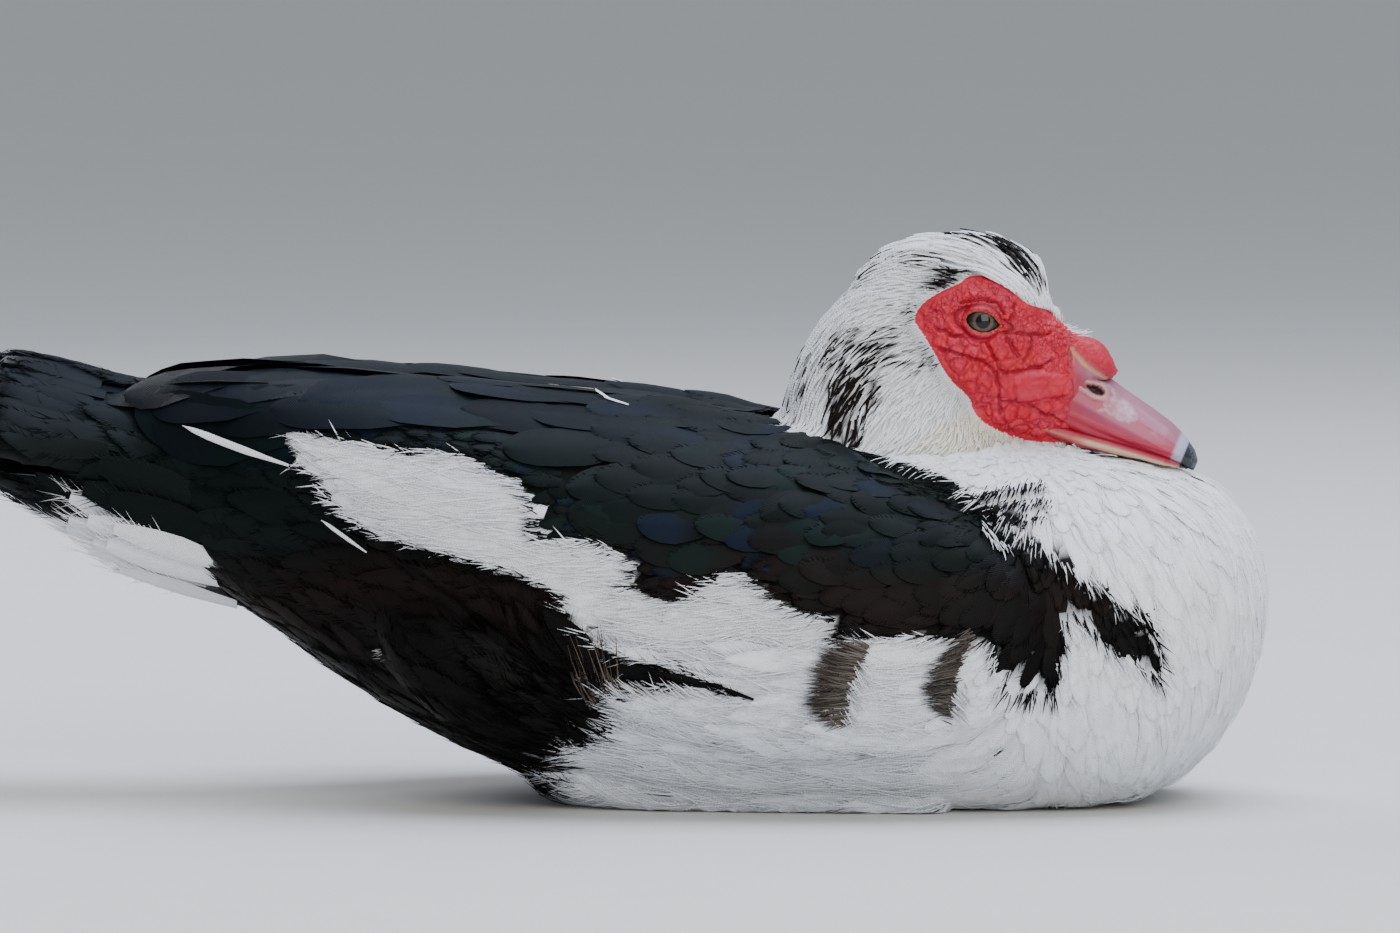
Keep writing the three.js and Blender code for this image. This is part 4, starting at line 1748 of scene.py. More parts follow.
        # Painted shade: each vane darkens towards its thin edges, and towards its root, which the feathers
        # above it cover
        shade = 1 - 0.12 * across[None, None, :] + 0.1 * (shares[None, :, None] - 0.6)
        base = batch.tints if batch.base is None else batch.base
        ripe = step(shares, 0.25, 0.5)[None, :, None]
        tints = base[:, None] + (batch.tints - base)[:, None] * ripe
        tints = (tints[:, :, None, :] * shade[..., None]).reshape(count, -1, 3)
        rim = np.tile(across == 1, (len(shares), 1))
        rim[[0, -1]] = True
        points, lie = np.stack(rings, 2).reshape(count, -1, 3), np.stack(lie, 2).reshape(count, -1, 2)
        pile.add(points, vane.faces(), rim.ravel(), tints, lines.places[:, 0], lie, batch.kinds)
        if vane.barbs:
            self.fray(pile, batch, sides, centre, half)

    def fray(self, pile: Pile, batch: Batch, sides: Points, centre: Points, half: Points) -> None:
        """Adds loose barbs round the ends of blades.

        Args:
            pile: Where they go.
            batch: The blades.
            sides: Directions across them.
            centre: Their raised centre lines.
            half: Their half widths at each station.
        """
        vane, lengths = batch.vane, batch.lengths[:, None]
        count, total = len(lengths), vane.barbs
        shares = np.array(vane.stations)
        rank = (np.arange(total) + self.rng.random((count, total))) / total
        hand = np.where(np.arange(total) % 2, 1.0, -1.0)[None, :]
        at = vane.barb_from + (1 - vane.barb_from) * np.sqrt(rank)
        k = np.clip(np.searchsorted(shares, at.ravel()) - 1, 0, len(shares) - 2).reshape(at.shape)
        part = ((at - shares[k]) / (shares[k + 1] - shares[k]))[..., None]
        row = np.arange(count)[:, None]
        up, way, side, wide, base = (
            values[row, k] * (1 - part) + values[row, k + 1] * part
            for values in (batch.lines.ups, batch.lines.ways, sides, half[..., None], centre)
        )
        up, way, side = unit(up), unit(way), unit(side)
        width = wide[..., 0] * hand
        angle = np.radians(12 + 30 * (1 - rank) + self.rng.normal(0, 9, rank.shape)) * hand
        ahead = way * np.cos(angle)[..., None] + side * np.sin(angle)[..., None]
        base = base + side * (width * 0.82)[..., None] - up * (vane.camber * np.abs(width))[..., None]
        across = np.cross(up, ahead)
        reach = vane.barb_length * self.rng.uniform(0.5, 1.35, rank.shape) * (lengths / vane.length)
        wide = (vane.barb_width / 2 * self.rng.uniform(0.7, 1.3, rank.shape))[..., None]
        droop = self.rng.normal(-0.1, 0.12, rank.shape)
        tip = base + ahead * reach[..., None] + up * (droop * reach)[..., None]
        base = base - ahead * 1.0
        points = np.stack([base - across * wide, base + across * wide, base + up * 0.3, tip], 2)
        lie = np.zeros(points.shape[:3] + (2,))
        lie[..., 0] = width[..., None] + np.array([-0.4, 0.4, 0, 0])
        lie[..., 1] = (at * lengths)[..., None] + np.array([0, 0, 0, 1]) * reach[..., None]
        faces = np.array([[0, 2, 1, -1], [0, 1, 3, -1], [1, 2, 3, -1], [0, 3, 2, -1]])
        of_blades = (batch.tints, batch.lines.places[:, 0], batch.kinds)
        tints, roots, kinds = (np.repeat(values, total, 0) for values in of_blades)
        points, lie = points.reshape(-1, 4, 3), lie.reshape(-1, 4, 2)
        pile.add(points, faces, np.ones(4, bool), tints[:, None, :], roots, lie, kinds)


@dataclass(frozen=True)
class Tract:
    """A tract of soft feathers low on the body, with silk between them.

    Each of its parts is a piece, from a rear x to a front x.
    """

    name: str
    vane: Vane
    gap: float
    parts: tuple[tuple[str, float, float], ...]
    silk_gap: float = 0.0
    silk_lift: float = 0.0


@dataclass
class Coat:
    """The whole coat of feathers, tract by tract."""

    # Length, width, heights of root and tip over the skin, thickness, camber, taper, bluntness and stem; then
    # the stations, the points across, and the number, length, width and start of the loose barbs; then the
    # turn in degrees, the unruliness and the dip of the tip
    down: Vane = Vane(
        8.5, 1.0, 1.0, 2.1, 0.45, 0.0, 0.9, 1.0, 0.8, (0, 0.4, 0.75, 1), 1, turn=9, unruly=0.18, dip=0.3
    )
    crest: Vane = Vane(
        24, 1.5, 1.0, 2.8, 0.5, 0.0, 0.6, 0.9, 0.8,
        (0, 0.2, 0.4, 0.6, 0.8, 0.92, 1), 1, turn=7, unruly=0.5, dip=0.2,
    )  # fmt: skip
    plume: Vane = Vane(
        3.6, 0.24, 0.1, 2.0, 0.2, 0.0, 0.9, 1.0, 0.8, (0, 0.5, 1), 1, turn=26, unruly=0.6, dip=0
    )
    contour: Vane = Vane(
        24, 10.5, 4.4, 5.5, 0.3, 0.08, 0.5, 0.5, 0.6,
        (0, 0.35, 0.6, 0.77, 0.88, 0.95, 0.99), 3, 34, 3.6, 0.4, 0.32, 7, 0.2, 0.3,
    )  # fmt: skip
    flank: Vane = Vane(
        34, 9, 4.6, 6.0, 0.3, 0.1, 0.7, 0.7, 0.6,
        (0, 0.3, 0.55, 0.75, 0.9, 0.98), 3, 60, 9, 0.36, 0.25, 9, 0.4, 0.2,
    )  # fmt: skip
    hairy: Vane = Vane(
        32, 10, 4.4, 5.8, 0.3, 0.1, 0.6, 0.6, 0.6,
        (0, 0.3, 0.55, 0.75, 0.9, 0.98), 3, 26, 7, 0.4, 0.3, 9, 0.3, 0.3,
    )  # fmt: skip
    covert: Vane = Vane(
        26, 13, 3.7, 4.8, 0.25, 0.06, 0.5, 0.55, 0.5,
        (0, 0.25, 0.5, 0.7, 0.84, 0.93, 0.98, 1), 5, 12, 2, 0.4, 0.5, 9, 0.3, 0.15,
    )  # fmt: skip
    white_covert: Vane = Vane(
        40, 13, 3.4, 4.0, 0.25, 0.04, 0.36, 0.5, 0.5,
        (0, 0.25, 0.5, 0.7, 0.84, 0.93, 0.98), 5, 26, 4, 0.4, 0.4, 5, 0.15, 0.1,
    )  # fmt: skip
    scapular: Vane = Vane(
        66, 25, 4.6, 5.8, 0.35, 0.1, 0.34, 0.5, 0.5,
        (0, 0.2, 0.4, 0.6, 0.75, 0.86, 0.94, 0.98, 1), 5, 10, 1.4, 0.5, 0.7, 4, 0.2, 0.4,
    )  # fmt: skip
    edging: Vane = Vane(
        16, 6, 3.8, 5.0, 0.25, 0.06, 0.5, 0.6, 0.5,
        (0, 0.3, 0.6, 0.8, 0.92, 0.98), 3, 18, 3.4, 0.36, 0.3, 9, 0.2, 0.2,
    )  # fmt: skip
    tail_covert: Vane = Vane(
        46, 20, 0.4, 1.6, 0.4, 0.08, 0.36, 0.5, 0.5,
        (0, 0.25, 0.5, 0.7, 0.84, 0.93, 0.98, 1), 5, 10, 2.4, 0.5, 0.6, 5, 0.2, 0.3,
    )  # fmt: skip
    under_covert: Vane = Vane(
        50, 14, 0.5, 4.5, 0.4, 0.12, 0.6, 0.6, 0.6,
        (0, 0.2, 0.4, 0.6, 0.78, 0.92), 3, 26, 9, 0.5, 0.35, 9, 0.5, 0,
    )  # fmt: skip
    tertial: Vane = Vane(
        150, 27, 3.0, 4.4, 0.5, 0.05, 0.2, 0.5, 0.7,
        (0, 0.12, 0.25, 0.4, 0.55, 0.7, 0.82, 0.9, 0.96, 1), 5, 14, 1.8, 0.5, 0.6, 2, 0, 0.3,
    )  # fmt: skip
    rectrix: Vane = Vane(
        118, 27, -1.0, -1.0, 0.6, 0.03, 0.2, 0.5, 0.35,
        (0, 0.12, 0.25, 0.4, 0.55, 0.7, 0.82, 0.9, 0.96, 1), 5, 18, 2, 0.5, 0.6, 2, 0, 0,
    )  # fmt: skip
    secondary: Vane = Vane(
        90, 14, 3.8, 4.4, 0.3, 0.05, 0.45, 0.7, 0.5,
        (0, 0.15, 0.3, 0.45, 0.6, 0.72, 0.82, 0.9, 0.96, 0.99), 5, 50, 5, 0.36, 0.4, 2, 0, 0.2,
    )  # fmt: skip
    stripe: Vane = Vane(
        28, 6, 6.6, 7.0, 0.3, 0.05, 0.6, 0.8, 0.5,
        (0, 0.25, 0.5, 0.7, 0.85, 0.97), 3, 26, 5, 0.36, 0.3, 4, 0.1, 0,
    )  # fmt: skip
    strand: Vane = Vane(14, 0.55, 7.4, 8.0, 0.25, 0, 0.7, 1.0, 0.9, (0, 0.35, 0.7, 1), 1, unruly=0.5, dip=0.2)
    silk: Vane = Vane(
        20, 0.5, 5.8, 6.8, 0.25, 0, 0.7, 1.0, 0.9, (0, 0.3, 0.55, 0.8, 1), 1, turn=11, unruly=0.5, dip=0.5
    )
    quill: Vane = Vane(
        44, 3, 5.4, 5.8, 0.5, 0, 0.25, 0.5, 0.35, (0, 0.2, 0.4, 0.6, 0.8, 0.93, 1), 1, 0, unruly=0, dip=0
    )

    def build(self, skin: Skin, markings: Markings, finishes: dict) -> None:
        """Grows every tract of feathers.

        Args:
            skin: The skin.
            markings: Colours of the coat.
            finishes: Materials by name.
        """
        self.skin = skin
        self.marks = markings
        self.comb = Comb(skin.surface, skin)
        self.stiff = Comb(skin.back, skin)
        self.fan = Comb(Surface(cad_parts["tail"].data), skin)
        self.materials = [finishes["white"], finishes["dark"]]
        self.head_and_neck()
        self.breast_and_belly()
        self.back_and_wings()
        self.tail()

    def sides(self) -> Iterator[Side]:
        """Takes each side in turn, with an empty pile."""
        for self.side in Side:
            self.pile = Pile()
            yield self.side

    def mine(self, roots: Points) -> Points:
        """Picks the roots of this side."""
        return roots[roots[:, 1] * self.side.value > 0]

    def piece(self, name: str, slot: str) -> None:
        """Builds the pile as a piece."""
        self.pile.build(f"coat_{name}_{self.side.name.lower()}", slot, self.materials)

    def depths(self, shown: Points) -> Points:
        """Gives the depth in the white of each visible place of each feather."""
        return self.marks.depth(shown.reshape(-1, 3)).reshape(shown.shape[:2])

    def head_and_neck(self) -> None:
        """Short silky tufts, smallest at the edge of the face."""

        def zone(places: Points) -> Points:
            """Tells which places are head or neck with a coat."""
            region = self.skin.region_of(places)
            upper = (region == Region.NECK.value) | (region == Region.HEAD.value)
            return upper & (self.skin.bare(places) < -0.4)

        def growth(places: Points) -> Points:
            """Gives the tufts' size."""
            away = np.clip(-self.skin.bare(places), 0, 60)
            return 0.5 + 0.4 * step(away, 0, 8) + 0.6 * step(away, 10, 50)

        def tuft_gap(places: Points) -> Points:
            """Gives the distance between tufts."""
            return np.where(zone(places), 1.75 * growth(places) ** 0.8, 0)

        def crest_gap(places: Points) -> Points:
            """Gives the distance between the long tufts of the crown."""
            x, _, z = places.T
            return np.where(zone(places) & (z > 199 - 0.6 * (x - 165)) & (z > 186) & (x > 128), 2.1, 0)

        def plume_gap(places: Points) -> Points:
            """Gives the distance between the fine plumes of the forehead."""
            along, above = on_head(places)
            strip = (np.abs(places[:, 1]) < 5.5) & (along > 22) & (above > 13.5 - 0.1 * along)
            return np.where(strip & (places[:, 2] > 172) & (places[:, 0] < 201), 1.7, 0)

        def tint_of(places: Points) -> tuple[Points, Points]:
            """Colours the tufts."""
            black = self.marks.flecked(places)
            white = self.marks.vary(self.marks.white_tint(places), 0.05)
            dark = self.marks.vary(np.tile(to_linear("#1a1412"), (len(places), 1)), 0.6)
            return np.where(black[:, None], dark, white), black.astype(int)

        def pale(places: Points) -> tuple[Points, Points]:
            """Colours the plumes."""
            return self.marks.white_tint(places), np.zeros(len(places), int)

        tufts, crest, plumes = (
            self.comb.roots(gap, 11 + k) for k, gap in enumerate((tuft_gap, crest_gap, plume_gap))
        )
        for _ in self.sides():
            self.comb.grow(self.pile, self.down, self.mine(tufts), tint_of, growth)
            self.comb.grow(self.pile, self.crest, self.mine(crest), tint_of)
            self.comb.grow(self.pile, self.plume, self.mine(plumes), pale)
            self.piece("head", "white_feather")

    def contour_tint(self, places: Points) -> tuple[Points, Points]:
        """Colours the feathers of the breast, belly, flanks and vent.

        Args:
            places: Their visible middles.

        Returns:
            Colours and material numbers.
        """
        marks = self.marks
        white = marks.is_white(places) & ~marks.flecked(places)
        pale = marks.vary(marks.white_tint(places), 0.05)
        dark = marks.vary(marks.dark_tint(places), 0.3)
        return np.where(white[:, None], pale, dark), (~white).astype(int)

    def breast_and_belly(self) -> None:
        """Soft frayed feathers of the breast, belly, flanks, thighs and vent."""
        whole = (-300.0, 300.0)
        halves = (("breast", 172.0, 300.0), ("belly", -300.0, 172.0))
        tracts = (
            Tract("breast", self.contour, 5.6, halves, 4.4, -1.0),
            Tract("flank", self.flank, 5.2, (("flank", *whole),), 3.0),
            Tract("vent", self.hairy, 7.0, (("vent", *whole),)),
        )

        def tract_of(places: Points) -> Points:
            """Numbers the tract of each place, or gives -1 where it is none of them."""
            x, _, z = places.T
            region = self.skin.region_of(places)
            upper = (region == Region.NECK.value) | (region == Region.HEAD.value)
            found = np.where((x < 150) & (x > 0) & (z > 6) & (z < 62), 1, np.where(x < 12, 2, 0))
            return np.where(~upper & ~self.wing_zone(places, region) & (x > -200), found, -1)

        def unmixed(shown: Points) -> Points:
            """Drops the feathers that would cross the edge of the white over the folded wing."""
            x, _, z = shown[:, 0].T
            return ~((z > 84) & (x > -112) & (x < 20) & (self.depths(shown).max(1) > -2))

        for number, tract in enumerate(tracts):

            def size(places: Points) -> Points:
                """Gives the feathers' size: small at the head, and at the white's edge on the breast."""
                out = (places - np.array([150.0, 0.0, 150.0])) * np.array([1, 0.8, 1])
                away = np.linalg.norm(out, axis=1)
                near = np.abs(self.marks.depth(places)) if tract.name == "breast" else 20.0
                return (0.42 + 0.58 * step(away, 38, 95)) * (0.55 + 0.45 * step(near, 1, 11))

            def gap(places: Points) -> Points:
                """Gives the distance between feathers."""
                wide = tract.gap * size(places) * (1 + 0.35 * (places[:, 2] < 3))
                return np.where((tract_of(places) == number) & ~self.under_bill(places), wide, 0)

            def silk_gap(places: Points) -> Points:
                """Gives the distance between strands of silk, on the breast only inside the white."""
                white = (self.marks.depth(places) > 2) & (places[:, 2] > 8) & ~self.under_bill(places)
                inside = (tract_of(places) == number) & (white | (tract.name == "flank"))
                return np.where(inside, tract.silk_gap, 0)

            roots = self.comb.roots(gap, 20 + number)
            silk = self.comb.roots(silk_gap, 27) if tract.silk_gap else roots[:0]
            for _ in self.sides():
                for part, rear, front in tract.parts:
                    own, fine = (
                        self.mine(found[(found[:, 0] > rear) & (found[:, 0] <= front)])
                        for found in (roots, silk)
                    )
                    self.pile = Pile()
                    self.comb.grow(self.pile, tract.vane, own, self.contour_tint, size, unmixed)
                    self.comb.grow(self.pile, self.silk, fine, self.contour_tint, size, lift=tract.silk_lift)
                    self.piece(part, "white_feather")

    @staticmethod
    def under_bill(places: Points) -> Points:
        """Tells which places the head and bill rest on, where no feather shows."""
        x, y, z = places.T
        return (np.abs(y) < 8) & (x > 172) & (x < 236) & (z > 112)

    @staticmethod
    def wing_zone(places: Points, region: Points) -> Points:
        """Tells which places belong to the wings and back.

        Args:
            places: Places as x, y, z.
            region: Their regions.

        Returns:
            True for each of them.
        """
        x, z = seen(places).T
        stops = (
            (-180, 112), (-100, 92), (-34, 86), (6, 74), (23, 58), (50, 50), (73, 44), (90, 56), (150, 60),
        )  # fmt: skip
        edge = np.interp(x, *zip(*stops))
        winged = (region == Region.WING.value) & (z > edge)
        back = (region == Region.TRUNK.value) & (places[:, 2] > 138) & (x < 100)
        return winged | back

    def back_and_wings(self) -> None:
        """Overlapping rows of round-ended feathers on the shoulders, back and folded wings."""

        def size(places: Points) -> Points:
            """Gives the small coverts' size."""
            return np.interp(places[:, 0], [-60, 0, 60, 100, 140, 186], [2.3, 1.8, 1.3, 1.0, 0.85, 0.75])

        def long_size(places: Points) -> Points:
            """Gives the scapulars' size."""
            return np.interp(places[:, 0], [-20, 60], [1.0, 0.7])

        def thin_size(places: Points) -> Points:
            """Makes white feathers smaller in the narrow parts of the band."""
            return np.clip(self.marks.depth(places) / 11, 0.4, 1.0)

        def winged(places: Points) -> Points:
            """Tells which places are wing or back."""
            return self.wing_zone(places, self.skin.region_of(places))

        def is_dark(shown: Points) -> Points:
            """Keeps the feathers that show only on the dark of the wings and back."""
            return (self.depths(shown).max(1) < 1.2) & winged(shown[:, 1])

        def is_pale(shown: Points) -> Points:
            """Keeps the feathers that show only on the white of the wings."""
            return (self.depths(shown).min(1) > -1.6) & winged(shown[:, 0])

        def edge_gap(places: Points, hand: int) -> Points:
            """Gives the distance between the small feathers along the white's edge, on one hand of it."""
            depth = self.marks.depth(places) * hand
            return np.where((depth > 0) & (depth < 16) & winged(places), 4.4, 0)

        stiff = self.stiff
        rows = [(186, 6.5, 6.5), (140, 7.5, 8.0), (100, 9, 9), (60, 12, 11), (0, 17, 13), (-150, 20, 14)]
        roots = stiff.lattice(rows, -30)
        angle = np.degrees(np.arctan2(roots[:, 2] - axis_level(roots[:, 0]), np.abs(roots[:, 1])))
        roots = roots[((roots[:, 0] > 46) | (angle < 30)) & (self.marks.depth(roots) < 0.5)]
        long_roots = stiff.lattice([(60, 20.0, 14.0), (20, 27.0, 17.0), (-106, 30.0, 18.0)], 26)
        long_roots = long_roots[self.marks.depth(long_roots) < 0.5]
        band = stiff.lattice([(180, 9.0, 7.0), (60, 11.0, 7.5), (-110, 12.0, 7.5)], -30)
        dark_edge = stiff.roots(lambda p: edge_gap(p, -1), 32)
        pale_edge = stiff.roots(lambda p: edge_gap(p, 1), 31)
        fine = stiff.roots(lambda p: np.where(winged(p) & (self.marks.depth(p) > 1.5), 2.8, 0), 33)
        for _ in self.sides():
            pile, mine = self.pile, self.mine
            stiff.grow(pile, self.white_covert, mine(band), self.pale_tint, thin_size, is_pale)
            stiff.grow(pile, self.edging, mine(pale_edge), self.pale_tint, keep=is_pale, lift=-0.8)
            stiff.grow(pile, self.edging, mine(dark_edge), self.wing_tint, keep=is_dark)
            stiff.grow(pile, self.covert, mine(roots), self.wing_tint, size, is_dark, lift=1.0)
            self.tertials()
            self.band_feathers()
            stiff.grow(pile, self.silk, mine(fine), self.pale_tint, keep=is_pale, lift=-0.9)
            self.fringe()
            self.strands()
            stiff.grow(pile, self.scapular, mine(long_roots), self.wing_tint, long_size, is_dark, lift=0.6)
            self.piece("wing", "dark_feather")

    def wing_tint(self, places: Points) -> tuple[Points, Points]:
        """Colours the dark feathers of the wings and back.

        Args:
            places: Their visible middles.

        Returns:
            Colours and material numbers.
        """
        tint = self.marks.vary(self.marks.dark_tint(places), 0.35)
        # Some feathers of the shoulder and back catch a green or blue gloss
        chance = self.marks.rng.random((len(places), 1))
        gloss = (Spot(72, 118, 72, 32).weight(places) + Spot(-40, 140, 90, 18).weight(places))[:, None]
        for shade, low in (("#0b1c18", 0.66), ("#0d1526", 0.84)):
            tint = tint + (to_linear(shade) - tint) * 0.8 * (chance > low) * np.minimum(gloss, 1)
        return tint, np.ones(len(places), int)

    def pale_tint(self, places: Points) -> tuple[Points, Points]:
        """Colours white feathers."""
        return self.marks.vary(self.marks.white_tint(places), 0.04), np.zeros(len(places), int)

    def place(
        self,
        vane: Vane,
        lines: Lines,
        white: bool = False,
        size: Points | float = 1.0,
        lift: Points | float = 0.0,
    ) -> None:
        """Grows single feathers on lines of their own.

        Args:
            vane: Their shape.
            lines: Their centre lines.
            white: True for white ones.
            size: Their widths as multiples.
            lift: Height added.
        """
        count = len(lines.places)
        lengths = np.linalg.norm(np.diff(lines.places, axis=1), axis=2).sum(1)
        widths = vane.width * np.broadcast_to(size, (count,)) * self.comb.rng.uniform(0.95, 1.05, count)
        colour = self.pale_tint if white else self.wing_tint
        tints, kinds = colour(lines.places[:, len(vane.stations) // 2])
        self.stiff.form(self.pile, Batch(vane, lines, lengths, widths, tints, kinds, lift))

    def band_feathers(self) -> None:
        """Long white feathers at the rear of the band, and dark ones of the thin stripe below it."""
        # x and z of root and tip in the side view, and the width as a multiple
        white = [
            (-8, 112, -107.5, 138.2, 0.5), (-4, 107, -99, 133.4, 0.85), (0, 101, -91, 127, 1.0),
            (3, 96.5, -84, 120.5, 1.0), (6, 92.5, -76, 113.5, 1.0), (8, 88.5, -66, 105.5, 0.95),
            (10, 84.5, -50, 98.5, 0.9), (12, 80.5, -34, 93.5, 0.85), (16, 77, -18, 88.5, 0.8),
            (24, 73, -2, 83, 0.8),
        ]  # fmt: skip
        dark = [
            (75, 40.8, 57, 46.4, 0.3), (63, 45.0, 36, 50.2, 0.5), (45, 47.3, 18, 54.5, 1.05),
            (29, 49.5, 4, 64.0, 1.6), (20, 51.0, -4, 74.0, 2.0),
        ]  # fmt: skip
        kinds = ((self.secondary, white, True, (0.9, -0.3)), (self.stripe, dark, False, (0.8, 0.0)))
        for vane, rows, pale, lifts in kinds:
            table = np.array(rows, float)
            lines = self.stiff.draw(table[:, :4], vane.stations, self.side)
            self.place(vane, lines, pale, table[:, 4], np.linspace(*lifts, len(table)))

    def loose(
        self,
        start: Points,
        way: Points,
        size: Points,
        tints: Points,
        kinds: Points,
        widths: Points,
        lifts: Points,
    ) -> None:
        """Forms loose barbs that are drawn in the side view.

        Args:
            start: x and z of their roots.
            way: Their directions.
            size: Their lengths, one a row.
            tints: Their colours.
            kinds: Their material numbers.
            widths: Their widths.
            lifts: Height added.
        """
        lines = self.stiff.draw(np.hstack([start, start + way * size]), self.strand.stations, self.side)
        self.stiff.form(self.pile, Batch(self.strand, lines, size[:, 0], widths, tints, kinds, lifts))

    def fringe(self) -> None:
        """Loose barbs that cross the edge of the white, so that it looks frayed."""
        rng = np.random.default_rng(SEED + 8)
        ring = np.vstack([WHITE.corners, WHITE.corners[:1]])
        start = np.vstack(
            [
                a + (b - a) * rng.random((int(np.linalg.norm(b - a) / 0.42), 1))
                for a, b in zip(ring[:-1], ring[1:])
            ]
        )
        start += rng.normal(0, 1.3, start.shape)
        x, z = start.T
        start = start[(x > -96) & (x < 226) & (z > 20) & (z < 136) & ((x < 60) | (z < 128))]
        places = self.stiff.meet(start, self.side)
        way = Comb.flow(places)
        way = unit(way[:, [0, 2]] - way[:, 1:2] * self.side.value * LEAN) + rng.normal(0, 0.22, start.shape)
        size = rng.uniform(4.0, 9.5, (len(start), 1))
        white = self.marks.depth(places) > 0
        tints = np.where(white[:, None], self.marks.white_tint(places), self.marks.dark_tint(places))
        widths = self.strand.width * rng.uniform(0.6, 1.1, len(start))
        lifts = rng.uniform(-2.2, -0.9, len(start))
        self.loose(start, unit(way), size, tints, (~white).astype(int), widths, lifts)

    def strands(self) -> None:
        """Loose barbs of the brushed patches, the thigh's hairs, the breast's bars and single streaks."""
        rng = np.random.default_rng(SEED + 5)
        # Each brush: its spine's ends, the way its barbs point at both, their length, number and shade
        brushes = [
            ((117.5, 60.0), (109.5, 33.0), (-1.0, 0.42), (-1.0, -0.25), 16.0, 330, "#564f49"),
            ((111.0, 57.0), (104.0, 36.0), (-1.0, 0.42), (-1.0, -0.25), 9.0, 190, "#3f3935"),
            ((116.0, 57.0), (107.0, 34.0), (0.55, -0.85), (0.75, -0.65), 10.0, 60, "#d9dde2"),
            ((155.5, 64.5), (149.0, 35.0), (-0.9, -0.45), (-1.0, 0.15), 12.0, 260, "#4c4641"),
            ((152.0, 47.0), (148.5, 36.0), (0.6, -0.8), (0.8, -0.6), 8.0, 40, "#d9dde2"),
            ((14.0, 40.0), (27.0, 45.0), (-0.55, 0.85), (-0.15, 1.0), 26.0, 46, "#4f463e"),
            ((24.0, 44.0), (64.0, 40.5), (-0.75, 0.65), (-0.85, 0.5), 9.0, 70, "#dfe4ea"),
            ((156.5, 111.5), (184.5, 115.5), (-0.6, -0.75), (-0.35, -0.9), 3.6, 120, "#120d0b"),
            ((160.0, 106.8), (187.0, 110.2), (-0.6, -0.75), (-0.35, -0.9), 3.4, 110, "#120d0b"),
            ((166.0, 102.6), (186.0, 104.8), (-0.6, -0.75), (-0.35, -0.9), 3.0, 60, "#120d0b"),
            ((160.5, 102.5), (169.0, 91.5), (0.5, -0.85), (0.2, -0.95), 4.6, 34, "#e6e9ec"),
            ((-62.0, 60.0), (-58.5, 56.5), (-0.9, 0.1), (-0.8, -0.3), 3.5, 9, "#8f8a86"),
        ]
        for top, bottom, first, last, reach, count, shade in brushes:
            t = rng.random((count, 1))
            start = np.array(top) * (1 - t) + np.array(bottom) * t + rng.normal(0, 0.9, (count, 2))
            # Each brush bows a little to the rear
            start[:, :1] -= 10.0 * t * (1 - t)
            way = unit(np.array(first) * (1 - t) + np.array(last) * t + rng.normal(0, 0.13, (count, 2)))
            size = reach * rng.uniform(0.55, 1.15, (count, 1)) * (1 - 0.5 * (2 * t - 1) ** 4)
            colour = to_linear(shade)
            tints = np.clip(colour * rng.uniform(0.45, 1.9, (count, 1)), 0, 0.85)
            kinds = np.full(count, int(colour.mean() < 0.4))
            widths = self.strand.width * rng.uniform(0.6, 1.2, count)
            self.loose(start, way, size, tints, kinds, widths, rng.uniform(-1.6, 0.4, count))

    def tertials(self) -> None:
        """Long stiff feathers over the folded wing, quill tips behind, and single white quills."""
        # x and angle of root and tip, innermost last
        quills = np.array([(-104, 27, -172, 32), (-108, 38, -180, 44), (-108, 50, -184, 58)], float)
        over = np.array(
            [
                (10, 45, -124, 53), (5, 53, -146, 58), (0, 61, -158, 65), (-5, 71, -162, 75),
                (-10, 81, -156, 86),
            ],
            float,
        )  # fmt: skip
        sliver = np.array([(-98.5, 126.0, -140.5, 139.6)])
        shaft = np.array([(-69.0, 95.5, -86.0, 107.5)])
        flecks = np.array([(30.0, 60.0, 20.0, 63.0), (22.0, 63.0, 16.0, 68.0)])
        stiff, side = self.stiff, self.side
        shares, fine = self.tertial.stations, self.quill.stations
        self.place(self.tertial, stiff.sweep(quills, shares, side), size=0.62, lift=-2.2)
        self.place(self.tertial, stiff.sweep(over, shares, side), lift=np.linspace(-1.2, 0.8, len(over)))
        self.place(self.quill, stiff.draw(sliver, fine, side), True, 0.95, 2.6)
        self.place(self.quill, stiff.draw(shaft, fine, side), True, 0.55, 1.6)
        self.place(self.quill, stiff.sweep(flecks, fine, side), True, 0.5, 1.4)

    def tail(self) -> None:
        """The fan of tail quills, with the coverts over and under its root."""
        rank = np.linspace(0, 1, 9)
        shares = np.array(self.rectrix.stations)
        ends = ((np.full(9, -160.0), -272.0 + 22 * rank**2.2), (2 + 13 * rank, 4 + 44 * rank))
        for side in self.sides():
            x, y = (root[:, None] * (1 - shares) + tip[:, None] * shares for root, tip in ends)
            above = np.stack([x, y * side.value, np.full_like(x, 300.0)], -1)
            lines = self.fan.trace(self.fan.cast(above, np.broadcast_to([0.0, 0.0, -1.0], above.shape)))
            self.place(self.rectrix, lines, lift=-1.1 * np.arange(9))
            self.over_tail()
            self.under_tail()
            self.piece("tail", "dark_feather")

    def over_tail(self) -> None:
        """Rows of coverts over the root of the tail."""
        roots = []
        for row, x in enumerate(np.arange(-142.0, -204.0, -14.0)):
            wide = np.interp(x, [-204, -142], [42, 24])
            for y in np.arange(3 + 5 * (row % 2), wide, 10.0):
                roots.append((x + self.comb.rng.normal(0, 1.5), y * self.side.value, 300.0))
        above = np.array(roots)
        places = self.fan.cast(above, np.tile([0.0, 0.0, -1.0], (len(above), 1)))

        def rearward(here: Points) -> Points:
            """Spreads the coverts like the fan."""
            return np.stack([-np.ones(len(here)), here[:, 1] * 0.009, np.zeros(len(here))], 1)

        self.fan.grow(self.pile, self.tail_covert, places, self.wing_tint, flow=rearward, lift=0.6)

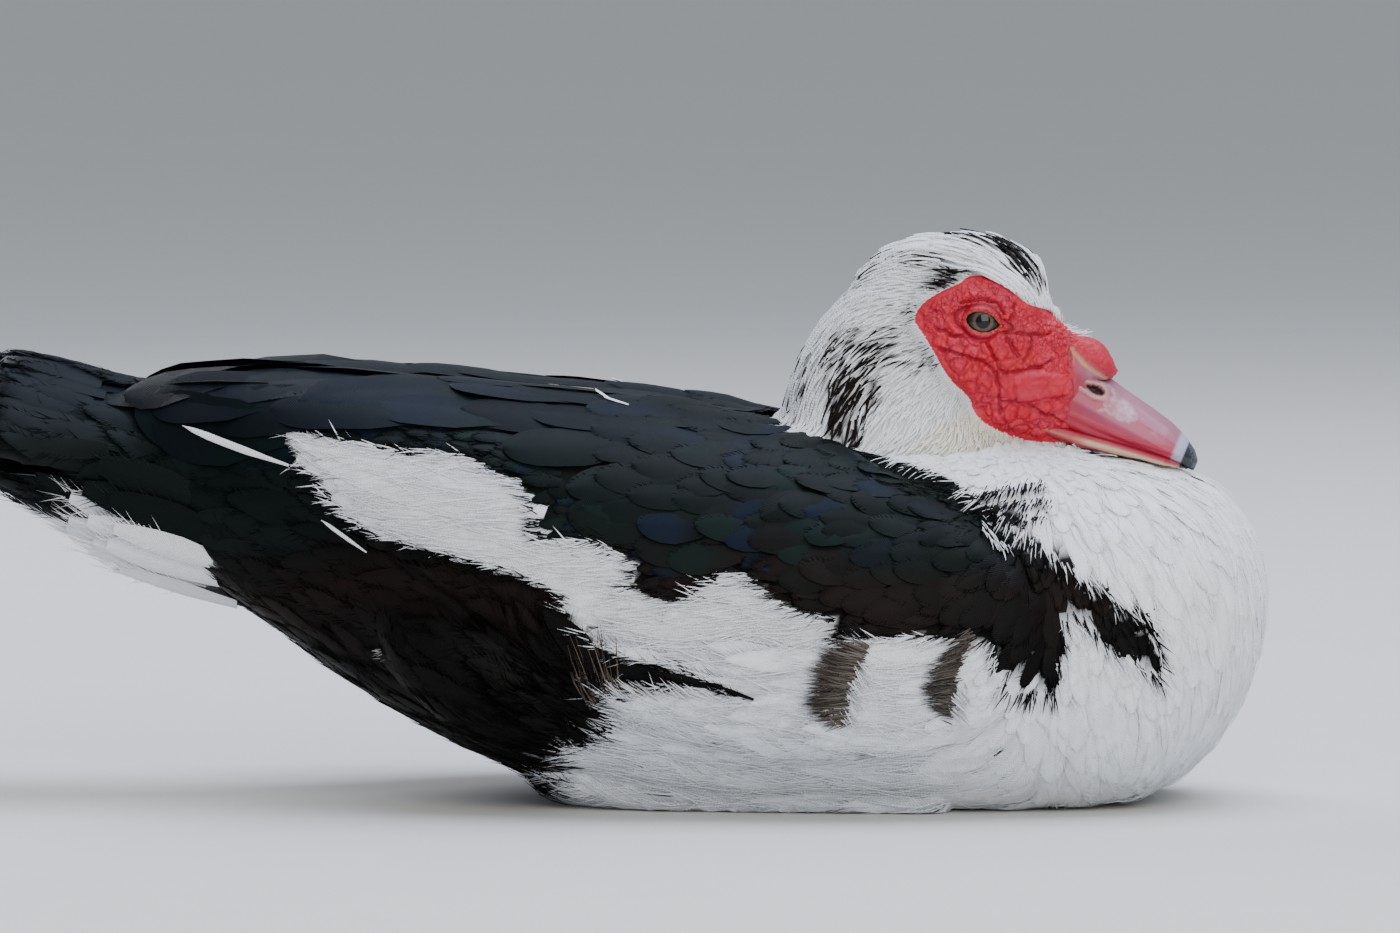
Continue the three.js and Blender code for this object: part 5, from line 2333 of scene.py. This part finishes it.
    def under_tail(self) -> None:
        """Long soft coverts under the tail, white in the middle."""
        rng, vane = self.comb.rng, self.under_covert
        starts = []
        for row, x in enumerate(np.arange(-122.0, -204.0, -9.0)):
            for angle in np.arange(-88.0 + 8 * (row % 2), 0.0, 15.0):
                starts.append((x, angle + rng.normal(0, 3)))
        x, angle = np.array(starts).T
        x = x + rng.normal(0, 2, len(x))
        turn = np.radians(angle)
        out = np.stack([np.zeros_like(x), np.cos(turn) * self.side.value, np.sin(turn)], 1)
        axis = np.stack([x, np.zeros_like(x), axis_level(x)], 1)
        begin = self.comb.cast(axis + 160 * out, -out)
        rise = np.interp(x, [-200, -160, -120], [26, 19, 17])
        finish = begin + np.stack([np.full_like(x, -48.0), -0.12 * begin[:, 1], rise], 1)
        t = np.array(vane.stations)[None, :, None]
        places = begin[:, None] * (1 - t) + finish[:, None] * t
        ways = unit(np.gradient(places, axis=1))
        ups = out[:, None] + np.array([-0.2, 0, 0])
        ups = unit(ups - (ups * ways).sum(-1, keepdims=True) * ways)
        tints, kinds = self.contour_tint(places[:, 4])
        lengths = np.linalg.norm(finish - begin, axis=1)
        widths = vane.width * rng.uniform(0.85, 1.1, len(x))
        lift = 2.0 + 6.0 * step(-np.degrees(turn), 30, 60)
        self.comb.form(self.pile, Batch(vane, Lines(places, ups, ways), lengths, widths, tints, kinds, lift))


# Bill, eyes and feet


@dataclass
class Bill:
    """The horny bill: upper and lower halves, nostrils and the black nail."""

    voxel: float = 0.55
    nostril: Spot = Spot(206.8, 157.9, 3.7, 1.9, -25)
    nostril_rim: Spot = Spot(206.9, 157.8, 5.6, 3.7, -25)
    scuff: Spot = Spot(215.5, 151.0, 8.5, 4.5, -32)
    root_back: float = 8.0

    def build(self, finishes: dict) -> None:
        """Builds the three horny pieces.

        Args:
            finishes: Materials by name.
        """
        for name in ("bill_upper", "bill_lower"):
            mesh = remeshed([name], 0.3, self.voxel, name)
            relax(mesh, 12, 0.5)
            self.hollow(mesh)
            self.colour(mesh)
            self.tuck(mesh)
            show(mesh, name + "_horn", "bill_horn", [finishes["bill"]], name)
        mesh = remeshed(["bill_nail"], 0.45, 0.5, "nail")
        relax(mesh, 6, 0.5)
        show(mesh, "bill_nail_horn", "nail_horn", [finishes["nail"]], "bill_nail")

    def tuck(self, mesh: bpy.types.Mesh) -> None:
        """Runs the root of the bill back under the skin of the face."""
        points = points_of(mesh)
        along, _ = on_head(points)
        back = self.root_back * (1 - step(along, 51, 54))
        points[:, 0] -= back * math.cos(HEAD_PITCH)
        points[:, 2] -= back * math.sin(HEAD_PITCH)
        set_points(mesh, points)

    def hollow(self, mesh: bpy.types.Mesh) -> None:
        """Sinks the nostrils, raises their rims and cuts the groove above the edge of the bill."""
        points, normals = points_of(mesh), normals_of(mesh)
        sideways = step(np.abs(normals[:, 1]), 0.2, 0.6)
        rim = self.nostril_rim.weight(points) - 1.4 * self.nostril.weight(points)
        move = 0.55 * np.maximum(rim, 0) - 2.6 * self.nostril.weight(points)
        edge = line_distance(points[:, [0, 2]], np.array(TOMIUM))
        move -= 0.45 * (1 - step(edge, 0.3, 1.3)) - 0.25 * step(edge, 1.0, 1.8) * (1 - step(edge, 2.2, 3.6))
        set_points(mesh, points + normals * (move * sideways)[:, None])

    def colour(self, mesh: bpy.types.Mesh) -> None:
        """Stores the horn's colour and its chalky bloom."""
        points = points_of(mesh)
        along, above = on_head(points)
        bloom = 0.46 * self.scuff.weight(points) + 0.16 * Spot(224, 145, 12, 6, -35).weight(points)
        ridge = 1 - step(line_distance(points[:, [0, 2]], np.array(NOSTRIL_RIDGE)), 0.4, 1.2)
        bloom = np.maximum(bloom, 0.42 * ridge) * (1 - step(self.nostril.weight(points), 0.1, 0.4))
        set_values(mesh, "coat", self.tint(points))
        set_values(mesh, "crease", bloom)

    @classmethod
    def tint(cls, points: Points) -> Points:
        """Colours the horn: rose, redder at its root and edge, mauve on top, pale before the nail.

        Args:
            points: Places as x, y, z.

        Returns:
            Linear colours.
        """
        flat = points[:, [0, 2]]
        along, above = on_head(points)
        drift = waver(points, 16.0, 31)
        shades = (
            "#a44664", "#94304c", "#9a6878", "#ab2339", "#cdb592",
            "#a9b6cb", "#cc9c98", "#22090c", "#a81f30", "#161b23"
        )  # fmt: skip
        rose, root, mauve, red, cream, pale, rim, dark, skin, nail = (to_linear(c) for c in shades)
        tint = np.tile(rose, (len(points), 1))

        def blend(colour: Points, share: Points) -> None:
            """Mixes a colour in."""
            tint[:] = tint + (colour - tint) * np.clip(share, 0, 1)[:, None]

        blend(root, (1 - step(along + 3 * drift[:, 0], 58, 70)) * 0.75)
        blend(mauve, step(above - np.interp(along, [50, 72, 93], [3, -2.2, -7.5]), -3.5, 1.5) * 0.8)
        edge = line_distance(flat, np.array(TOMIUM))
        below = flat[:, 1] < np.interp(flat[:, 0], *np.array(TOMIUM).T)
        blend(red, np.where(below, 0.8, 0.9 * (1 - step(edge, 0.8, 6.5))))
        blend(cream, 0.85 * (1 - step(line_distance(flat, np.array(EDGE_LINE)), 0.7, 1.7)))
        blend(pale, 0.8 * step(along, 91.8, 93.4) * step(above, -16.5, -12.5))
        blend(nail, step(along, 96.2, 97) * step(above, -17.5, -16))
        blend(rim, 0.8 * cls.nostril_rim.weight(points))
        blend(red, 0.5 * Spot(208, 152.6, 5, 1.8, -20).weight(points))
        # Painted shade in the nostril: the sunken opening is coloured near black
        blend(dark, 1.0 * step(cls.nostril.weight(points), 0.25, 0.7))
        blend(skin, 0.8 * (1 - step(points[:, 0] + 1.5 * drift[:, 1], 197, 204)))
        return tint


@dataclass
class Eyes:
    """Wet eyeballs with a dark pupil in a grey-olive iris."""

    rings: int = 96
    pupil: float = 2.9
    iris: float = 5.0
    forward: float = 0.1
    upward: float = 0.04

    def build(self, finishes: dict) -> None:
        """Builds both eyes.

        Args:
            finishes: Materials by name.
        """
        for side in Side:
            node = f"eye_{side.name.lower()}"
            low, high = (np.array(corner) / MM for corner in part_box(node))
            radius = (high[2] - low[2]) / 2
            self.ball(node, (low + high) / 2, radius, side, finishes["eye"])

    def ball(
        self, node: str, centre: Points, radius: float, side: Side, material: bpy.types.Material
    ) -> None:
        """Builds one eyeball round its axis of sight.

        Args:
            node: The node that it stands for.
            centre: Its centre.
            radius: Its radius.
            side: Which eye.
            material: Its finish.
        """
        sight = unit(np.array([self.forward, side.value, self.upward]))
        right = unit(np.cross(sight, [0.0, 0.0, 1.0]))
        up = np.cross(right, sight)
        polar = np.pi * (np.linspace(0, 1, self.rings) ** 1.4)[1:-1]
        turn = np.linspace(0, math.tau, self.rings, endpoint=False)
        a, b = np.meshgrid(polar, turn, indexing="ij")
        out = np.sin(a)[..., None] * (np.cos(b)[..., None] * right + np.sin(b)[..., None] * up)
        ways = (out + np.cos(a)[..., None] * sight).reshape(-1, 3)
        ways = np.vstack([ways, sight, -sight])
        last = len(ways) - 2
        rows, count = len(polar), self.rings
        faces = []
        for j in range(count):
            after = (j + 1) % count
            for i in range(rows - 1):
                near_ring, far_ring = i * count, (i + 1) * count
                faces.append([far_ring + j, far_ring + after, near_ring + after, near_ring + j])
            faces.append([last, j, after, -1])
            faces.append([last + 1, (rows - 1) * count + after, (rows - 1) * count + j, -1])
        mesh = mesh_from(centre + ways * radius, np.array(faces), node)
        from_axis = radius * np.arccos(np.clip(ways @ sight, -1, 1))
        angle = np.arctan2(ways @ up, ways @ right)
        streak = 0.5 + 0.5 * np.sin(angle * 37 + 3 * np.sin(angle * 11)) * np.sin(angle * 23 + 1)
        shades = ("#020306", "#574a38", "#1c1710", "#0a0706")
        pupil, iris, outer, white = (to_linear(shade) for shade in shades)
        tint = iris * (0.75 + 0.5 * streak[:, None])
        tint = tint + (outer - tint) * step(from_axis, self.iris * 0.7, self.iris)[:, None]
        tint = tint + (white - tint) * step(from_axis, self.iris, self.iris + 0.5)[:, None]
        tint = pupil + (tint - pupil) * step(from_axis, self.pupil - 0.25, self.pupil + 0.2)[:, None]
        set_values(mesh, "coat", tint)
        shell = bmesh.new()
        shell.from_mesh(mesh)
        bmesh.ops.recalc_face_normals(shell, faces=shell.faces)
        shell.to_mesh(mesh)
        shell.free()
        show(mesh, node.replace("eye", "eyeball"), "eye_wet", [material], node)


@dataclass
class Feet:
    """Webbed feet with scutes over the toes and a net of small scales on the web."""

    voxel: float = 0.9
    scale_size: float = 2.2

    def build(self, finishes: dict) -> None:
        """Builds both feet and dresses the claws.

        Args:
            finishes: Materials by name.
        """
        for side in Side:
            node = f"foot_{side.name.lower()}"
            mesh = remeshed([node], 0.0, self.voxel, node)
            relax(mesh, 4, 0.5)
            points, normals = points_of(mesh), normals_of(mesh)
            net = step(cell_edges(points, self.scale_size, 6), 0.0, 0.3)
            off_ground = step(points[:, 2], 0.2, 0.8)
            moved = points + normals * (0.3 * (net - 0.8) * off_ground)[:, None]
            moved[:, 2] = np.maximum(moved[:, 2], 0)
            set_points(mesh, moved)
            tan, dark = (to_linear(shade) for shade in ("#8a7d62", "#3b362c"))
            mottle = step(waver(points, 22.0, 12)[:, 0], 0.0, 0.7)[:, None]
            tint = dark + (tan - dark) * (0.35 + 0.65 * net[:, None])
            set_values(mesh, "coat", tint + (dark - tint) * 0.5 * mottle)
            show(mesh, node + "_skin", "foot_skin", [finishes["foot"]], node)
        for name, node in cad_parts.items():
            if name.startswith("claw"):
                node.data.materials.clear()
                node.data.materials.append(finishes["claw"])


# Studio


@dataclass
class Studio:
    """Pale floor, soft lights and a long lens at the bird's own level."""

    aim: tuple[float, float, float] = (54.0, 0.0, 127.0)
    turn: float = 5.0
    rise: float = 4.0
    away: float = 4000.0
    lens: float = 267.5

    def build(self) -> None:
        """Builds the floor, the lights and the camera."""
        self.floor()
        self.lights()
        self.camera()

    def floor(self) -> None:
        """Builds a wide, flat, pale floor."""
        turn = np.linspace(0, math.tau, 64, endpoint=False)
        points = np.stack([30000 * np.cos(turn), 30000 * np.sin(turn), np.zeros(64)], 1)
        points = np.vstack([points, np.zeros((1, 3))])
        faces = np.array([[k, (k + 1) % 64, 64] for k in range(64)])
        mesh = mesh_from(points, faces, "floor")
        floor = bpy.data.objects.new("floor", mesh)
        bpy.context.scene.collection.objects.link(floor)
        # Paint over a rolled floor: even and matt, so that only the bird's shadow is seen
        finish = Grained("painted_floor", 0.8, 40.0, 0.02, shades=("#d9d7d2", "#d4d2cd"))
        mesh.materials.append(finish.material())
        floor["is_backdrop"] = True

    def light(self, name: str, place: tuple, size: float, watts: float, colour: str) -> None:
        """Adds a soft square light that faces the bird.

        Args:
            name: The light's name.
            place: Where it stands, in metres.
            size: Its width in metres.
            watts: Its power.
            colour: Its tint.
        """
        data = bpy.data.lights.new(name, "AREA")
        data.energy = watts
        data.size = size
        data.color = to_linear(colour)
        lamp = bpy.data.objects.new(name, data)
        lamp.location = place
        lamp.rotation_euler = (Vector((0, 0, 0.1)) - Vector(place)).to_track_quat("-Z", "Y").to_euler()
        bpy.context.scene.collection.objects.link(lamp)

    def lights(self) -> None:
        """Lights the bird like open shade: a broad sky above and a little behind, and soft fill in front."""
        self.light("sky", (0.5, 0.3, 2.4), 2.2, 92, "#dfe9ff")
        self.light("front", (0.9, -2.2, 1.1), 1.8, 42, "#fffaf2")
        self.light("rim", (-1.2, 1.6, 1.4), 1.2, 24, "#f3f6ff")
        world = bpy.data.worlds.new("studio")
        world.use_nodes = True
        background = world.node_tree.nodes["Background"]
        background.inputs["Color"].default_value = rgba("#dee6f2")
        background.inputs["Strength"].default_value = 0.6
        bpy.context.scene.world = world

    def camera(self) -> None:
        """Places the camera."""
        data = bpy.data.cameras.new("camera")
        data.lens = self.lens
        data.sensor_width = 36.0
        data.clip_end = 50.0
        eye = bpy.data.objects.new("camera", data)
        turn, rise = math.radians(self.turn), math.radians(self.rise)
        out = Vector((math.sin(turn) * math.cos(rise), -math.cos(turn) * math.cos(rise), math.sin(rise)))
        aim = Vector(self.aim) * MM
        eye.location = aim + out * self.away * MM
        eye.rotation_euler = (-out).to_track_quat("-Z", "Y").to_euler()
        bpy.context.scene.collection.objects.link(eye)
        bpy.context.scene.camera = eye


def write_sizes() -> None:
    """Reads the box of the frame and the box of the finished model as plain numbers."""
    boxes = {"cad": CAD_BOX, "visual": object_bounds()}
    plain = {name: [[float(v) for v in corner] for corner in box] for name, box in boxes.items()}


def main() -> None:
    """Builds the drake and its studio, piece by piece."""
    logging.basicConfig(level=logging.INFO, format="%(message)s")
    Studio().build()
    white = FeatherKeratin("white_feather_keratin", 0.72, 0.3, 0.2, "#ffffff", 1.2, 0.9, 0.5, 0.09)
    dark = FeatherKeratin("dark_feather_keratin", 0.45, 0.06, 0.0, "#7fa8b8", 1.0, 0.9, 0.2, 0.15)
    finishes = {
        "white": white,
        "dark": dark,
        # Dull skin that only shades the gaps between feathers
        "under_skin": Grained("feathered_skin", 0.9, 1.5, 0.2),
        "face": FaceSkin(),
        "bill": BillHorn(),
        # A tear film over the ball gives the sharp highlight
        "eye": Grained("wet_eye", 0.3, 0.4, 0.0, 0.75, 0.0),
        # Leathery scales with a broken, soft shine
        "foot": Grained("scaly_foot_skin", 0.55, 0.5, 0.3),
        # Worn smooth, so darker and glossier than the bill round it
        "nail": Grained("nail_horn", 0.28, 2.0, 0.1, 0.3, shades=("#14181f", "#272d38")),
        # Dry horn, brown where light comes through
        "claw": Grained("claw_horn", 0.4, 1.5, 0.2, shades=("#1d1a17", "#37322b")),
    }
    finishes = {name: finish.material() for name, finish in finishes.items()}
    markings = Markings()
    skin = Skin()
    skin.build(markings, finishes)
    Bill().build(finishes)
    Eyes().build(finishes)
    Feet().build(finishes)
    Coat().build(skin, markings, finishes)
    write_sizes()


if __name__ == "__main__":
    main()
